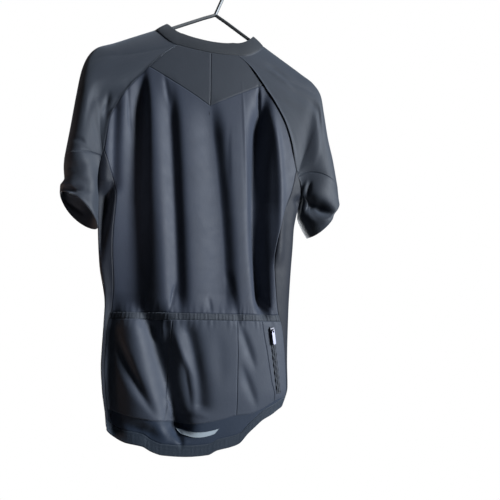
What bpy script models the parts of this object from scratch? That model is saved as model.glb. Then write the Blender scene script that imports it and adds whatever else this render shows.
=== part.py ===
"""A short-sleeved cycling jersey with raglan sleeves, hanging on a bent-tube hanger.

Metres, +Z up. The origin is the inner top of the hanger's hook, where a rail
carries it. The garment's back faces +Y and the wearer's left is +X. Tables
give heights as `down`, the distance below the origin, and widths as distances
from the garment's centre line. Cloth pieces are walls: a sheet of outer points
read from a few smooth functions, and the same sheet moved in by the wall.
"""

import math
from collections import namedtuple

import bmesh
import bpy
import numpy as np
from mathutils import Matrix, Vector

# Cloth
WALL = 0.0014
SETBACK = 0.0002  # each piece stops this far short of its seam
FOOT_GAP = 0.0007  # clearance under the arm, where sleeve and side hang close together
LAYER = 0.0004  # clearance under a piece that lies on another
CENTRE = 0.013  # the garment's centre line, to its left of the hook
SIDE_BLUNT = 0.75  # below 1 the body's sections are fuller than an ellipse

# Hanger
TUBE = 0.0032
HOOK_RADIUS = 0.0190  # inside
ARM_TOP = 0.082
ARM_SLOPE = 0.558
ARM_REACH = 0.188

# Seam heights
UNDERARM = 0.412
SIDE_JOIN = 0.372  # where the side seam meets the raglan seam
YOKE_JOIN = 0.221  # where the yoke's V meets the raglan seam
YOKE_POINT = 0.278
BACK_NECK = 0.171
BACK_NECK_DIP = 0.005
FRONT_NECK = 0.182
FRONT_NECK_DIP = 0.032
POCKET_TOP = 0.637
ELASTIC_HEIGHT = 0.011
HEM_HEIGHT = 0.0175

# Zips
TAPE_HALF = 0.0062  # the front zip's tape
POCKET_TAPE_HALF = 0.0035
TAPE_WALL = 0.0010
FRONT_SLIDER_LEVEL = 1.62  # closed, part of the way up the collar
POCKET_SLIDER_LEVEL = 0.055  # closed, at the top of its tape
SLIDER_GAP = 0.0003
FILM = 0.0010
PULL_LENGTH = 0.0245
PULL_WIDTH = 0.0052
PULL_THICKNESS = 0.0012
PULL_EYE = 0.0032
BRIDGE_INSIDE = 0.00115
BRIDGE_BAND = 0.0011
SLIDER_LENGTH = 0.0090
SLIDER_WIDTH = 0.0074
SLIDER_THICKNESS = 0.0018

Section = namedtuple("Section", "down left right back front")
SECTIONS = (
    Section(0.120, 0.070, 0.096, 0.022, 0.024),
    Section(0.145, 0.110, 0.136, 0.026, 0.028),
    Section(0.175, 0.164, 0.190, 0.030, 0.033),
    Section(0.210, 0.199, 0.213, 0.033, 0.035),
    Section(0.260, 0.199, 0.211, 0.037, 0.036),
    Section(0.320, 0.193, 0.203, 0.040, 0.037),
    Section(0.372, 0.186, 0.194, 0.041, 0.037),
    Section(0.412, 0.184, 0.189, 0.041, 0.037),
    Section(0.430, 0.182, 0.182, 0.041, 0.037),
    Section(0.450, 0.179, 0.177, 0.041, 0.037),
    Section(0.480, 0.176, 0.171, 0.042, 0.037),
    Section(0.510, 0.174, 0.169, 0.042, 0.037),
    Section(0.560, 0.169, 0.165, 0.042, 0.037),
    Section(0.630, 0.157, 0.161, 0.041, 0.036),
    Section(0.715, 0.158, 0.159, 0.042, 0.036),
    Section(0.760, 0.154, 0.160, 0.042, 0.035),
    Section(0.800, 0.147, 0.148, 0.040, 0.034),
    Section(0.865, 0.140, 0.138, 0.037, 0.033),
)

# The raglan seam, and below SIDE_JOIN the armhole's foot
Seam = namedtuple("Seam", "down left right")
RAGLAN = (
    Seam(0.171, 0.060, 0.052),
    Seam(0.186, 0.076, 0.071),
    Seam(0.214, 0.101, 0.094),
    Seam(0.247, 0.128, 0.119),
    Seam(0.288, 0.154, 0.144),
    Seam(0.321, 0.167, 0.156),
    Seam(0.372, 0.173, 0.168),
    Seam(0.398, 0.179, 0.179),
    Seam(0.412, 0.184, 0.189),
)
SIDE_SEAM = (
    Seam(0.372, 0.173, 0.168),
    Seam(0.413, 0.157, 0.158),
    Seam(0.446, 0.149, 0.146),
    Seam(0.511, 0.151, 0.128),
    Seam(0.540, 0.150, 0.124),
    Seam(0.605, 0.145, 0.129),
    Seam(0.637, 0.146, 0.134),
    Seam(0.660, 0.150, 0.141),
    Seam(0.720, 0.152, 0.148),
    Seam(0.760, 0.148, 0.151),
    Seam(0.800, 0.142, 0.141),
    Seam(0.865, 0.135, 0.131),
)

# The hem's height round the body: 0 at the back's middle, 90 at the wearer's left
Hem = namedtuple("Hem", "degrees down")
HEM = (
    Hem(-180, 0.778),
    Hem(-120, 0.785),
    Hem(-90, 0.792),
    Hem(-70, 0.796),
    Hem(-57, 0.804),
    Hem(-47, 0.811),
    Hem(-40, 0.821),
    Hem(-34, 0.831),
    Hem(-27, 0.846),
    Hem(-21, 0.850),
    Hem(-11, 0.854),
    Hem(-5, 0.860),
    Hem(5, 0.861),
    Hem(25, 0.857),
    Hem(33, 0.851),
    Hem(40, 0.843),
    Hem(56, 0.837),
    Hem(70, 0.829),
    Hem(85, 0.818),
    Hem(105, 0.804),
    Hem(140, 0.784),
    Hem(180, 0.778),
)

# Folds: a positive depth is a valley, a negative one a ridge. Each runs from start to
# end, and has its place x from the centre line and the reach of its left and right
# walls at its top, its middle and its foot.
Fold = namedtuple("Fold", "start end x left right depth")
BACK_FOLDS = (
    Fold(0.215, 0.665, (0.117, 0.113, 0.110), (0.012, 0.034, 0.066), (0.006, 0.013, 0.030), 0.0215),
    Fold(0.225, 0.655, (0.074, 0.055, 0.041), (0.020, 0.017, 0.015), (0.010, 0.010, 0.012), 0.0110),
    Fold(0.250, 0.650, (0.006, -0.020, -0.039), (0.030, 0.038, 0.043), (0.013, 0.013, 0.013), 0.0120),
    Fold(0.240, 0.655, (-0.103, -0.085, -0.103), (0.010, 0.009, 0.009), (0.008, 0.029, 0.010), 0.0290),
    Fold(0.262, 0.450, (0.158, 0.157, 0.154), (0.008, 0.008, 0.008), (0.008, 0.009, 0.010), 0.0060),
    Fold(0.420, 0.570, (0.158, 0.167, 0.178), (0.014, 0.014, 0.014), (0.006, 0.007, 0.008), 0.0130),
    Fold(0.260, 0.560, (-0.114, -0.134, -0.130), (0.008, 0.009, 0.010), (0.008, 0.009, 0.010), -0.0055),
    Fold(0.560, 0.660, (-0.040, -0.050, -0.060), (0.006, 0.006, 0.007), (0.006, 0.006, 0.007), 0.0022),
    Fold(0.628, 0.815, (0.102, 0.084, 0.050), (0.012, 0.012, 0.012), (0.013, 0.015, 0.020), 0.0120),
    Fold(0.630, 0.750, (0.062, 0.032, 0.004), (0.008, 0.008, 0.009), (0.010, 0.011, 0.012), 0.0065),
    Fold(0.715, 0.806, (0.128, 0.112, 0.080), (0.009, 0.009, 0.009), (0.010, 0.010, 0.011), 0.0060),
    Fold(0.640, 0.800, (-0.054, -0.076, -0.090), (0.010, 0.010, 0.011), (0.010, 0.010, 0.011), 0.0035),
)
FRONT_FOLDS = (
    Fold(0.230, 0.720, (0.112, 0.106, 0.094), (0.020, 0.023, 0.026), (0.020, 0.023, 0.026), 0.0120),
    Fold(0.260, 0.660, (0.062, 0.056, 0.046), (0.017, 0.018, 0.020), (0.017, 0.018, 0.020), 0.0065),
    Fold(0.300, 0.740, (-0.048, -0.042, -0.050), (0.017, 0.018, 0.020), (0.017, 0.018, 0.020), 0.0060),
    Fold(0.225, 0.690, (-0.116, -0.108, -0.098), (0.021, 0.023, 0.025), (0.021, 0.023, 0.025), 0.0125),
    Fold(0.420, 0.750, (0.020, 0.026, 0.034), (0.015, 0.016, 0.017), (0.015, 0.016, 0.017), 0.0040),
    Fold(0.400, 0.560, (0.158, 0.148, 0.146), (0.015, 0.016, 0.016), (0.015, 0.016, 0.016), 0.0070),
    Fold(0.390, 0.570, (-0.160, -0.146, -0.142), (0.015, 0.016, 0.016), (0.015, 0.016, 0.016), 0.0070),
)
FADE_IN = 0.16  # share of its length over which a fold starts
FADE_OUT = 0.12

# Sleeves: rows from the raglan seam (0) to the band's seam (8). Each runs from
# the armhole's foot to its outer end, bowed towards the neck, with its depths
# behind and in front.
Row = namedtuple("Row", "place outer_x outer_down bow back front")
LEFT_ROWS = (
    Row(0, 0.1100, 0.1370, 0.000, 0.026, 0.028),
    Row(1, 0.1450, 0.1563, 0.000, 0.027, 0.028),
    Row(2, 0.1800, 0.1758, 0.000, 0.027, 0.028),
    Row(3, 0.2065, 0.1895, 0.000, 0.028, 0.029),
    Row(4, 0.2195, 0.2060, 0.000, 0.029, 0.030),
    Row(5, 0.2290, 0.2350, 0.000, 0.030, 0.031),
    Row(6, 0.2350, 0.2810, 0.001, 0.031, 0.031),
    Row(7, 0.2405, 0.3350, 0.002, 0.032, 0.032),
    Row(8, 0.2465, 0.3880, 0.004, 0.032, 0.032),
)
RIGHT_ROWS = (
    Row(0, 0.0950, 0.1285, 0.000, 0.026, 0.028),
    Row(1, 0.1330, 0.1496, 0.000, 0.027, 0.028),
    Row(2, 0.1700, 0.1703, 0.000, 0.027, 0.028),
    Row(3, 0.1990, 0.1880, 0.000, 0.028, 0.029),
    Row(4, 0.2125, 0.2070, 0.000, 0.029, 0.030),
    Row(5, 0.2190, 0.2430, 0.002, 0.030, 0.031),
    Row(6, 0.2275, 0.2950, 0.005, 0.031, 0.031),
    Row(7, 0.2385, 0.3430, 0.010, 0.032, 0.032),
    Row(8, 0.2470, 0.3940, 0.014, 0.032, 0.032),
)
# The lower sleeve's rings, from its seam (8) to the cuff (12)
Ring = namedtuple("Ring", "place outer_x outer_down inner_x inner_down bow back front")
LEFT_RINGS = (
    Ring(8, 0.2465, 0.3880, 0.1975, 0.4130, 0.014, 0.033, 0.033),
    Ring(9, 0.2470, 0.4050, 0.1985, 0.4300, 0.010, 0.034, 0.034),
    Ring(10, 0.2445, 0.4240, 0.1925, 0.4520, 0.004, 0.031, 0.033),
    Ring(11, 0.2500, 0.4370, 0.1905, 0.4770, -0.004, 0.034, 0.035),
    Ring(12, 0.2500, 0.4480, 0.1895, 0.5010, -0.010, 0.035, 0.036),
)
RIGHT_RINGS = (
    Ring(8, 0.2470, 0.3940, 0.1760, 0.4130, 0.016, 0.033, 0.033),
    Ring(9, 0.2485, 0.4040, 0.1745, 0.4350, 0.012, 0.034, 0.034),
    Ring(10, 0.2490, 0.4140, 0.1705, 0.4550, 0.002, 0.032, 0.033),
    Ring(11, 0.2525, 0.4240, 0.1790, 0.4750, -0.010, 0.034, 0.035),
    Ring(12, 0.2510, 0.4340, 0.1900, 0.4925, -0.017, 0.035, 0.036),
)
BAND_PLACE = 8
RAGLAN_SHAPE_ENDS = 4.5  # row by which the raglan seam's own curve is gone
ROUNDING_STARTS = 0.45  # share of a row from which it turns towards the outer edge
BAND_BLEND = 1.8  # rings by which the armhole's shape is gone from the lower sleeve

# Columns of a sleeve's half loop: 0 at the underarm, LOOP_STEPS at the shoulder line
LOOP_STEPS = 15
BAND_STEP = 2  # where the band's seam starts on the armhole
YOKE_STEP = 8
NECK_STEP = 11
BAND_CORNER = 0.384  # height of that start

# Creases on the sleeves: place along, turn round (0 underarm, 1 shoulder line, 2 underarm)
Crease = namedtuple("Crease", "place turn length width lean depth")
LEFT_CREASES = (
    Crease(3.4, 0.44, 2.2, 0.050, 0.030, 0.0040),
    Crease(9.8, 0.55, 0.45, 0.280, 0.000, 0.0040),
    Crease(11.2, 0.72, 0.9, 0.070, -0.060, 0.0050),
    Crease(6.0, 1.45, 2.6, 0.060, 0.030, 0.0040),
    Crease(10.2, 1.50, 0.45, 0.260, 0.000, 0.0040),
)
RIGHT_CREASES = (
    Crease(4.0, 0.60, 1.8, 0.050, -0.030, 0.0030),
    Crease(9.4, 0.62, 0.50, 0.260, 0.020, 0.0055),
    Crease(10.2, 0.30, 1.2, 0.050, 0.040, 0.0045),
    Crease(6.5, 1.52, 2.4, 0.060, -0.030, 0.0040),
    Crease(10.0, 1.48, 0.50, 0.260, 0.000, 0.0045),
)

# The collar stands on the neck seam: 0 at the back's middle, 1 at the front's
Collar = namedtuple("Collar", "place inward back_shift rise")
COLLAR = (
    Collar(0.00, 0.000, -0.003, 0.0240),
    Collar(0.20, 0.003, -0.003, 0.0245),
    Collar(0.34, 0.010, -0.003, 0.0250),
    Collar(0.50, 0.0205, 0.000, 0.0165),
    Collar(0.66, 0.010, 0.004, 0.0270),
    Collar(0.85, 0.003, 0.006, 0.0330),
    Collar(0.95, 0.000, 0.006, 0.0340),
    Collar(1.00, 0.000, 0.006, 0.0340),
)
COLLAR_BULGE = 0.0015
NECK_CORNER = 0.34  # place on the neck seam where the raglan seam meets it

# Pockets: their borders across the back, and their lower edges
Borders = namedtuple("Borders", "down zip_edge right_divider left_divider")
BORDERS = (
    Borders(0.637, -0.0990, -0.0550, 0.0520),
    Borders(0.665, -0.1025, -0.0558, 0.0520),
    Borders(0.715, -0.1115, -0.0568, 0.0530),
    Borders(0.780, -0.1205, -0.0568, 0.0570),
    Borders(0.865, -0.1130, -0.0540, 0.0590),
)
Foot = namedtuple("Foot", "x down")
POCKET_FOOT = (
    Foot(-0.155, 0.772),
    Foot(-0.127, 0.778),
    Foot(-0.101, 0.792),
    Foot(-0.080, 0.799),
    Foot(-0.058, 0.800),
    Foot(-0.030, 0.806),
    Foot(0.000, 0.810),
    Foot(0.027, 0.812),
    Foot(0.058, 0.807),
    Foot(0.097, 0.801),
    Foot(0.155, 0.786),
)

# The pocket zip runs down this line
ZIP_TOP = (-0.1178, 0.657)
ZIP_BOTTOM = (-0.1338, 0.768)

REFLECTIVE_CENTRE = 0.0045
REFLECTIVE_TOP = (0.0330, 0.8195)  # half length, down
REFLECTIVE_FOOT = (0.0260, 0.8270)
REFLECTIVE_SAG = 0.0045

# Colours: red, green, blue, roughness, metallic
BLACK_KNIT = (0.020, 0.023, 0.028, 0.62, 0.0)
TAIL_KNIT = (0.014, 0.022, 0.032, 0.60, 0.0)
RIB_KNIT = (0.022, 0.025, 0.030, 0.70, 0.0)
GREY_COATING = (0.125, 0.145, 0.150, 0.38, 0.0)
SILVER_FILM = (0.62, 0.68, 0.72, 0.28, 0.3)
ZIP_TAPE = (0.016, 0.017, 0.020, 0.72, 0.0)
PULL_METAL = (0.48, 0.48, 0.55, 0.30, 0.8)
SLIDER_METAL = (0.20, 0.20, 0.22, 0.35, 0.9)


# ---------------------------------------------------------------- curves


def smooth(rows, column, where):
    """A table's column at any place along its first column, on a smooth curve."""
    places = np.array([row[0] for row in rows], float)
    values = np.array([getattr(row, column) for row in rows], float)
    where = np.clip(np.asarray(where, float), places[0], places[-1])
    chord = np.diff(values) / np.diff(places)
    before, after = chord[:-1], chord[1:]
    steady = before * after > 0
    slope = np.zeros(len(places))
    slope[0], slope[-1] = chord[0], chord[-1]
    slope[1:-1][steady] = 2 * before[steady] * after[steady] / (before[steady] + after[steady])
    i = np.clip(np.searchsorted(places, where, side="right") - 1, 0, len(places) - 2)
    h = places[i + 1] - places[i]
    t = (where - places[i]) / h
    start = (1 + 2 * t) * (1 - t) ** 2 * values[i] + t * (1 - t) ** 2 * h * slope[i]
    end = t * t * (3 - 2 * t) * values[i + 1] - t * t * (1 - t) * h * slope[i + 1]
    return start + end


def ease(t):
    """0 to 1 with level ends."""
    t = np.clip(t, 0.0, 1.0)
    return t * t * (3 - 2 * t)


def mix(first, second, share):
    return first + (second - first) * share


def unit(vectors):
    return vectors / np.maximum(np.linalg.norm(vectors, axis=-1, keepdims=True), 1e-12)


def word(side):
    return "left" if side > 0 else "right"


def through(values, t):
    """A smooth curve through three values, at 0, a half and 1."""
    first, middle, last = values
    return (2 * t - 1) * (t - 1) * first + 4 * t * (1 - t) * middle + t * (2 * t - 1) * last


def fold_depth(folds, x, down):
    """How far the folds draw the cloth in at x from the centre line."""
    total = np.zeros(np.broadcast(x, down).shape)
    for fold in folds:
        t = np.clip((down - fold.start) / (fold.end - fold.start), 0, 1)
        left, right = (np.interp(t, (0, 0.5, 1), reach) for reach in (fold.left, fold.right))
        offset = x - through(fold.x, t)
        strength = ease(t / FADE_IN) * ease((1 - t) / FADE_OUT)
        total = total + fold.depth * strength * np.exp(-((offset / np.where(offset > 0, left, right)) ** 2))
    return total


# ---------------------------------------------------------------- surfaces


def half_width(down, side):
    return np.where(side > 0, smooth(SECTIONS, "left", down), smooth(SECTIONS, "right", down))


def body(angle, down):
    """The body's outer face: angle 0 at the back's middle, 90 degrees at the wearer's left."""
    angle, down = np.broadcast_arrays(np.asarray(angle, float), np.asarray(down, float))
    across, through = np.sin(angle), np.cos(angle)
    x = half_width(down, across) * across
    behind = through > 0
    depth = np.where(behind, smooth(SECTIONS, "back", down), smooth(SECTIONS, "front", down))
    y = depth * np.abs(through) ** SIDE_BLUNT
    drawn = np.where(behind, fold_depth(BACK_FOLDS, x, down), fold_depth(FRONT_FOLDS, x, down))
    y = y - drawn * ease(np.abs(through) / 0.45)
    return np.stack([CENTRE + x, np.where(behind, y, -y), -down], axis=-1)


def back_angle(x, down):
    """The body's angle at x from the centre line, on the back."""
    return np.arcsin(np.clip(x / half_width(down, x), -1, 1))


def front_angle(x, down):
    """The same on the front, from 90 to 180 degrees on the wearer's left."""
    angle = back_angle(x, down)
    return np.where(x >= 0, np.pi - angle, -np.pi - angle)


def face_angle(face, x, down):
    return np.where(face > 0, back_angle(x, down), front_angle(x, down))


def raglan_down(step, face):
    """Height along the raglan seam, from its foot (BAND_STEP) to the neck (NECK_STEP)."""
    down = np.interp(step, (BAND_STEP, YOKE_STEP, NECK_STEP), (SIDE_JOIN, YOKE_JOIN, BACK_NECK))
    share = (SIDE_JOIN - down) / (SIDE_JOIN - BACK_NECK)
    return np.where(face > 0, down, mix(SIDE_JOIN, FRONT_NECK, share))


def seam_x(down, side):
    """The raglan seam and the armhole's foot, from the centre line, at a height behind."""
    return side * smooth(RAGLAN, word(side), down)


def raglan(side, face, step):
    """The raglan seam as (angle, down) on the body."""
    down = raglan_down(step, face)
    return face_angle(face, seam_x(raglan_down(step, 1), side), down), down


def armhole_foot(side, face, step):
    """Under the raglan seam: step 0 at the underarm and BAND_STEP where the band's seam starts."""
    down = mix(UNDERARM, BAND_CORNER, np.asarray(step, float) / BAND_STEP)
    x = seam_x(down, side)
    angle = np.where(down >= UNDERARM, side * np.pi / 2, face_angle(face, x, down))
    return angle, down


def rows_of(side):
    return LEFT_ROWS if side > 0 else RIGHT_ROWS


def shoulder_point(side):
    row = rows_of(side)[0]
    return np.array([side * row.outer_x, 0.0, -row.outer_down])


def sleeve_head(side, face, step):
    """A sleeve's first row: up the raglan seam, then along the neck to the shoulder line."""
    seam = body(*raglan(side, face, np.minimum(step, NECK_STEP)))
    turn = np.clip((step - NECK_STEP) / (LOOP_STEPS - NECK_STEP), 0, 1) * np.pi / 2
    top = shoulder_point(side)
    x = mix(seam[..., 0], top[0], np.sin(turn))
    y = seam[..., 1] * np.cos(turn)
    z = mix(seam[..., 2], top[2], ease(turn / (np.pi / 2)))
    return np.stack([x, y, z], axis=-1)


def upper_sleeve(side, face, step, place):
    """A sleeve between its raglan seam (place 0) and its band's seam (8)."""
    rows = rows_of(side)
    head = sleeve_head(side, face, step)
    joined = body(*raglan(side, face, np.full_like(step, BAND_STEP)))
    corner = body(*armhole_foot(side, face, np.full_like(step, BAND_STEP)))
    top = shoulder_point(side)
    head_share = (head[..., 2] - joined[..., 2]) / (top[2] - joined[..., 2])
    around = (step - BAND_STEP) / (LOOP_STEPS - BAND_STEP)
    kept = ease(1 - place / RAGLAN_SHAPE_ENDS)
    share = mix(np.sin(around * np.pi / 2), head_share, kept)
    start = mix(joined, corner, (place / BAND_PLACE)[..., None])
    end_x, end_z = side * smooth(rows, "outer_x", place), -smooth(rows, "outer_down", place)
    run_x, run_z = end_x - start[..., 0], end_z - start[..., 2]
    length = np.hypot(run_x, run_z)
    bow = smooth(rows, "bow", place) * np.sin(np.pi * np.clip(share, 0, 1) ** 0.7)
    off_x = head[..., 0] - mix(joined[..., 0], top[0], head_share)
    x = start[..., 0] + run_x * share + kept * off_x - side * bow * run_z / length
    z = start[..., 2] + run_z * share + side * bow * run_x / length
    depth = np.where(face > 0, smooth(rows, "back", place), smooth(rows, "front", place))
    turned = np.clip((share - ROUNDING_STARTS) / (1 - ROUNDING_STARTS), 0, 1)
    begin = np.abs(start[..., 1])
    bulge = begin + (depth - begin) * ease(share / ROUNDING_STARTS)
    y = mix(bulge * np.sqrt(1 - turned**2), np.abs(head[..., 1]), kept)
    return np.stack([x, y, z], axis=-1)


def sleeve(side, turn, place):
    """A sleeve's outer face: turn 0 at the underarm, 1 at the shoulder line, 2 at the underarm."""
    turn, place = np.broadcast_arrays(np.asarray(turn, float), np.asarray(place, float))
    turn = np.mod(turn, 2)
    face = np.where(turn <= 1, 1, -1)
    step = LOOP_STEPS * (1 - np.abs(turn - 1))
    upper = upper_sleeve(side, face, np.maximum(step, BAND_STEP), np.minimum(place, BAND_PLACE))
    seam = armhole_foot(side, face, np.minimum(step, BAND_STEP))
    foot = body(*seam) + normals(body, *seam, 1) * FOOT_GAP
    foot[..., 1] = np.abs(foot[..., 1])
    loop = np.where((step < BAND_STEP)[..., None], foot, upper)
    rings = LEFT_RINGS if side > 0 else RIGHT_RINGS
    around = np.pi * step / LOOP_STEPS
    share = (1 - np.cos(around)) / 2
    inner_x, inner_z = side * smooth(rings, "inner_x", place), -smooth(rings, "inner_down", place)
    run_x = side * smooth(rings, "outer_x", place) - inner_x
    run_z = -smooth(rings, "outer_down", place) - inner_z
    length = np.hypot(run_x, run_z)
    bow = smooth(rings, "bow", place) * np.sin(around) ** 1.5
    depth = np.where(face > 0, smooth(rings, "back", place), smooth(rings, "front", place))
    ring = np.stack(
        [
            inner_x + run_x * share - side * bow * run_z / length,
            depth * np.sin(around) ** 0.8,
            inner_z + run_z * share + side * bow * run_x / length,
        ],
        axis=-1,
    )
    point = mix(loop, ring, ease((place - BAND_PLACE) / BAND_BLEND)[..., None])
    y = point[..., 1]
    for crease in LEFT_CREASES if side > 0 else RIGHT_CREASES:
        along = (place - crease.place) / crease.length
        middle = crease.turn + crease.lean * along
        y = y - crease.depth * np.exp(-(along**2) - ((turn - middle) / crease.width) ** 2) * (y > 0.012)
    return np.stack([point[..., 0], face * y, point[..., 2]], axis=-1)


def neck_seam(side, place):
    """The neck seam: place 0 at the back's middle, 0.5 at the shoulder line, 1 at the front's."""
    place = np.asarray(place, float)
    behind = place <= 0.5
    p = np.where(behind, place, 1 - place)
    face = np.where(behind, 1, -1)
    share = np.clip(p / NECK_CORNER, 0, 1)
    x = seam_x(np.full_like(p, BACK_NECK), side) * share
    down_back = BACK_NECK + BACK_NECK_DIP * (1 - share**2)
    down_front = FRONT_NECK + FRONT_NECK_DIP * (1 - share**2)
    on_back = body(back_angle(x, down_back), down_back)
    on_front = body(front_angle(np.where(x == 0, side * 1e-9, x), down_front), down_front)
    on_body = np.where(behind[..., None], on_back, on_front)
    step = NECK_STEP + (LOOP_STEPS - NECK_STEP) * np.clip((p - NECK_CORNER) / (0.5 - NECK_CORNER), 0, 1)
    return np.where((p < NECK_CORNER)[..., None], on_body, sleeve_head(side, face, step))


def collar(side, place, height):
    """The collar's outer face: height 0 at the neck seam and 1 at the top edge."""
    place, height = np.broadcast_arrays(np.asarray(place, float), np.asarray(height, float))
    foot = neck_seam(side, place)
    lift = np.stack(
        [
            -side * smooth(COLLAR, "inward", place),
            smooth(COLLAR, "back_shift", place),
            smooth(COLLAR, "rise", place),
        ],
        axis=-1,
    )
    bulge = COLLAR_BULGE * np.sin(np.pi * height)
    out = np.stack([side * np.sin(np.pi * place), np.cos(np.pi * place), 0 * place], axis=-1)
    return foot + lift * height[..., None] + out * bulge[..., None]


def normals(surface, u, v, flip):
    """Unit normals of a surface at (u, v), pointing out of the garment."""
    step = 0.002
    along_u = surface(u + step, v) - surface(u - step, v)
    along_v = surface(u, v + step * 0.25) - surface(u, v - step * 0.25)
    return unit(np.cross(along_u, along_v) * flip)


# ---------------------------------------------------------------- pieces


def material(name, colour):
    red, green, blue, roughness, metallic = colour
    made = bpy.data.materials.new(name)
    made.use_nodes = True
    shader = made.node_tree.nodes["Principled BSDF"]
    shader.inputs["Base Color"].default_value = (red, green, blue, 1)
    shader.inputs["Roughness"].default_value = roughness
    shader.inputs["Metallic"].default_value = metallic
    made.diffuse_color = (red, green, blue, 1)
    return made


def add_object(name, mesh, colour):
    thing = bpy.data.objects.new(name, mesh)
    thing.data.materials.append(material(name, colour))
    bpy.data.collections["cycling_jersey"].objects.link(thing)
    return thing


def set_back(points, across, along):
    """Draws a sheet's edges in by SETBACK, on the sides that meet a seam."""
    points = points.copy()
    if across:
        points[:, 0] += SETBACK * unit(points[:, 1] - points[:, 0])
        points[:, -1] += SETBACK * unit(points[:, -2] - points[:, -1])
    if along:
        points[0] += SETBACK * unit(points[1] - points[0])
        points[-1] += SETBACK * unit(points[-2] - points[-1])
    return points


def wall(name, outer, inner, colour, closed=False):
    """One closed piece between a sheet of outer points and a sheet of inner ones."""
    rows, columns = outer.shape[:2]
    mesh = bmesh.new()
    sheets = []
    for sheet in (outer, inner):
        sheets.append([[mesh.verts.new(point) for point in row] for row in sheet])
    steps = columns if closed else columns - 1
    for r in range(rows - 1):
        for c in range(steps):
            d = (c + 1) % columns
            for sheet in sheets:
                mesh.faces.new((sheet[r][c], sheet[r][d], sheet[r + 1][d], sheet[r + 1][c]))
    top, under = sheets
    for c in range(steps):
        d = (c + 1) % columns
        for r in (0, rows - 1):
            mesh.faces.new((top[r][c], top[r][d], under[r][d], under[r][c]))
    if not closed:
        for r in range(rows - 1):
            for c in (0, columns - 1):
                mesh.faces.new((top[r][c], top[r + 1][c], under[r + 1][c], under[r][c]))
    bmesh.ops.recalc_face_normals(mesh, faces=mesh.faces)
    data = bpy.data.meshes.new(name)
    mesh.to_mesh(data)
    mesh.free()
    data.shade_smooth()
    data.set_sharp_from_angle(angle=math.radians(50))
    return add_object(name, data, colour)


def seam_normal(side, face, step):
    """The rim directions of body and sleeve along the raglan seam: one where they run smoothly on."""
    angle, down = raglan(side, face, step)
    on_body = normals(body, angle, down, 1)
    turn = np.where(face > 0, step / LOOP_STEPS, 2 - step / LOOP_STEPS)
    on_sleeve = normals(lambda u, v: sleeve(side, u, v), turn, np.full_like(turn, 0.12), side)
    agree = ease((np.sum(on_body * on_sleeve, axis=-1, keepdims=True) - 0.1) / 0.5)
    shared = unit(on_body + on_sleeve)
    return unit(mix(on_body, shared, agree)), unit(mix(on_sleeve, shared, agree))


def corner_normal(side, face):
    """The rim direction shared where sleeve, sleeve band, side and back meet."""
    steps = np.array([BAND_STEP, BAND_STEP + 0.3])
    faces = np.full(2, face)
    on_back = normals(body, *raglan(side, face, steps[:1]), 1)
    on_side = normals(body, *armhole_foot(side, face, steps[:1]), 1)
    turn = np.where(faces > 0, steps / LOOP_STEPS, 2 - steps / LOOP_STEPS)[1:]
    on_sleeve = normals(lambda u, v: sleeve(side, u, v), turn, np.full(1, 4.0), side)
    return unit(on_back + on_side + on_sleeve)


def body_piece(name, grid, colour, lift=0.0, thick=WALL, rims=()):
    """A piece of the body over a grid of (angle, down), or one that lies lifted on it."""
    angle, down = grid
    normal = normals(body, angle, down, 1)
    for rows, column, shared in rims:
        normal[rows, column] = shared
    outer = set_back(body(angle, down) + normal * lift, True, True)
    wall(name, outer, outer - normal * thick, colour)


BACK_HALF = 20  # columns on each side of the back panel's middle
POCKET_COLUMNS = (4, 8, 14, 14)  # zip pocket, right, centre and left
ROW_STEP = 1.0  # rows along the raglan seam, in steps of a sleeve's half loop
BACK_ROWS = 9  # rows of the back panel below the armhole's foot
ELASTIC_ROWS = 1
POCKET_ROWS = 7
TAIL_ROWS = 3
FRONT_COLUMNS = 10
POCKET_LEVEL = 0.800  # about where the pockets end, for the columns' spread
TAIL_LEVEL = 0.840
FRONT_LEVEL = 0.755
HEM_REACH = 0.600  # below this the front's rows bend towards the hem's line
SAG_ROWS = 8 / 19  # share of a side panel's rows over which the armhole's dip fades
COLUMNS_TURN = 0.450  # height where the back's columns start to gather to the pockets' borders


def seam_steps(first, last):
    """Steps along the raglan seam, from first to last with both ends."""
    count = round(abs(last - first) / ROW_STEP)
    return np.linspace(first, last, count + 1)


def columns(down, left, right):
    """The back's columns at each height, from the right seam to the left one."""
    half = np.arange(-BACK_HALF, BACK_HALF + 1) / BACK_HALF
    even = np.where(half[None, :] > 0, left[:, None] * half, right[:, None] * -half)
    names = ("zip_edge", "right_divider", "left_divider")
    edges = [right, *(smooth(BORDERS, name, down) for name in names), left]
    spans = []
    for count, start, end in zip(POCKET_COLUMNS, edges, edges[1:]):
        spans.append(mix(start[:, None], end[:, None], np.arange(count)[None, :] / count))
    spans.append(edges[-1][:, None])
    gathered = np.concatenate(spans, axis=1)
    return mix(even, gathered, ease((down - COLUMNS_TURN) / (POCKET_TOP - COLUMNS_TURN))[:, None])


def hem_top(angle):
    """Height of the hem band's upper edge."""
    degrees = np.degrees((angle + np.pi) % (2 * np.pi) - np.pi)
    return smooth(HEM, "down", degrees) - HEM_HEIGHT


def yoke_dip(share):
    """How far the yoke's V seam hangs below its ends, at a share of the way out."""
    return (YOKE_POINT - YOKE_JOIN) * (1 - np.abs(share)) ** 1.05


def back_grid():
    """The main back: raglan and side seams at its sides, the V at its top."""
    upper = raglan_down(seam_steps(YOKE_STEP, BAND_STEP)[:-1], 1)
    lower = np.linspace(SIDE_JOIN, POCKET_TOP, BACK_ROWS + 1)
    edge = np.concatenate([upper, lower])
    left = np.concatenate([seam_x(upper, 1), smooth(SIDE_SEAM, "left", lower)])
    right = np.concatenate([seam_x(upper, -1), -smooth(SIDE_SEAM, "right", lower)])
    x = columns(edge, left, right)
    share = np.where(x > 0, x / left[:, None], x / right[:, None])
    down = edge[:, None] + yoke_dip(share) * ease((SIDE_JOIN - edge) / (SIDE_JOIN - YOKE_JOIN))[:, None]
    return back_angle(x, down), down


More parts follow.
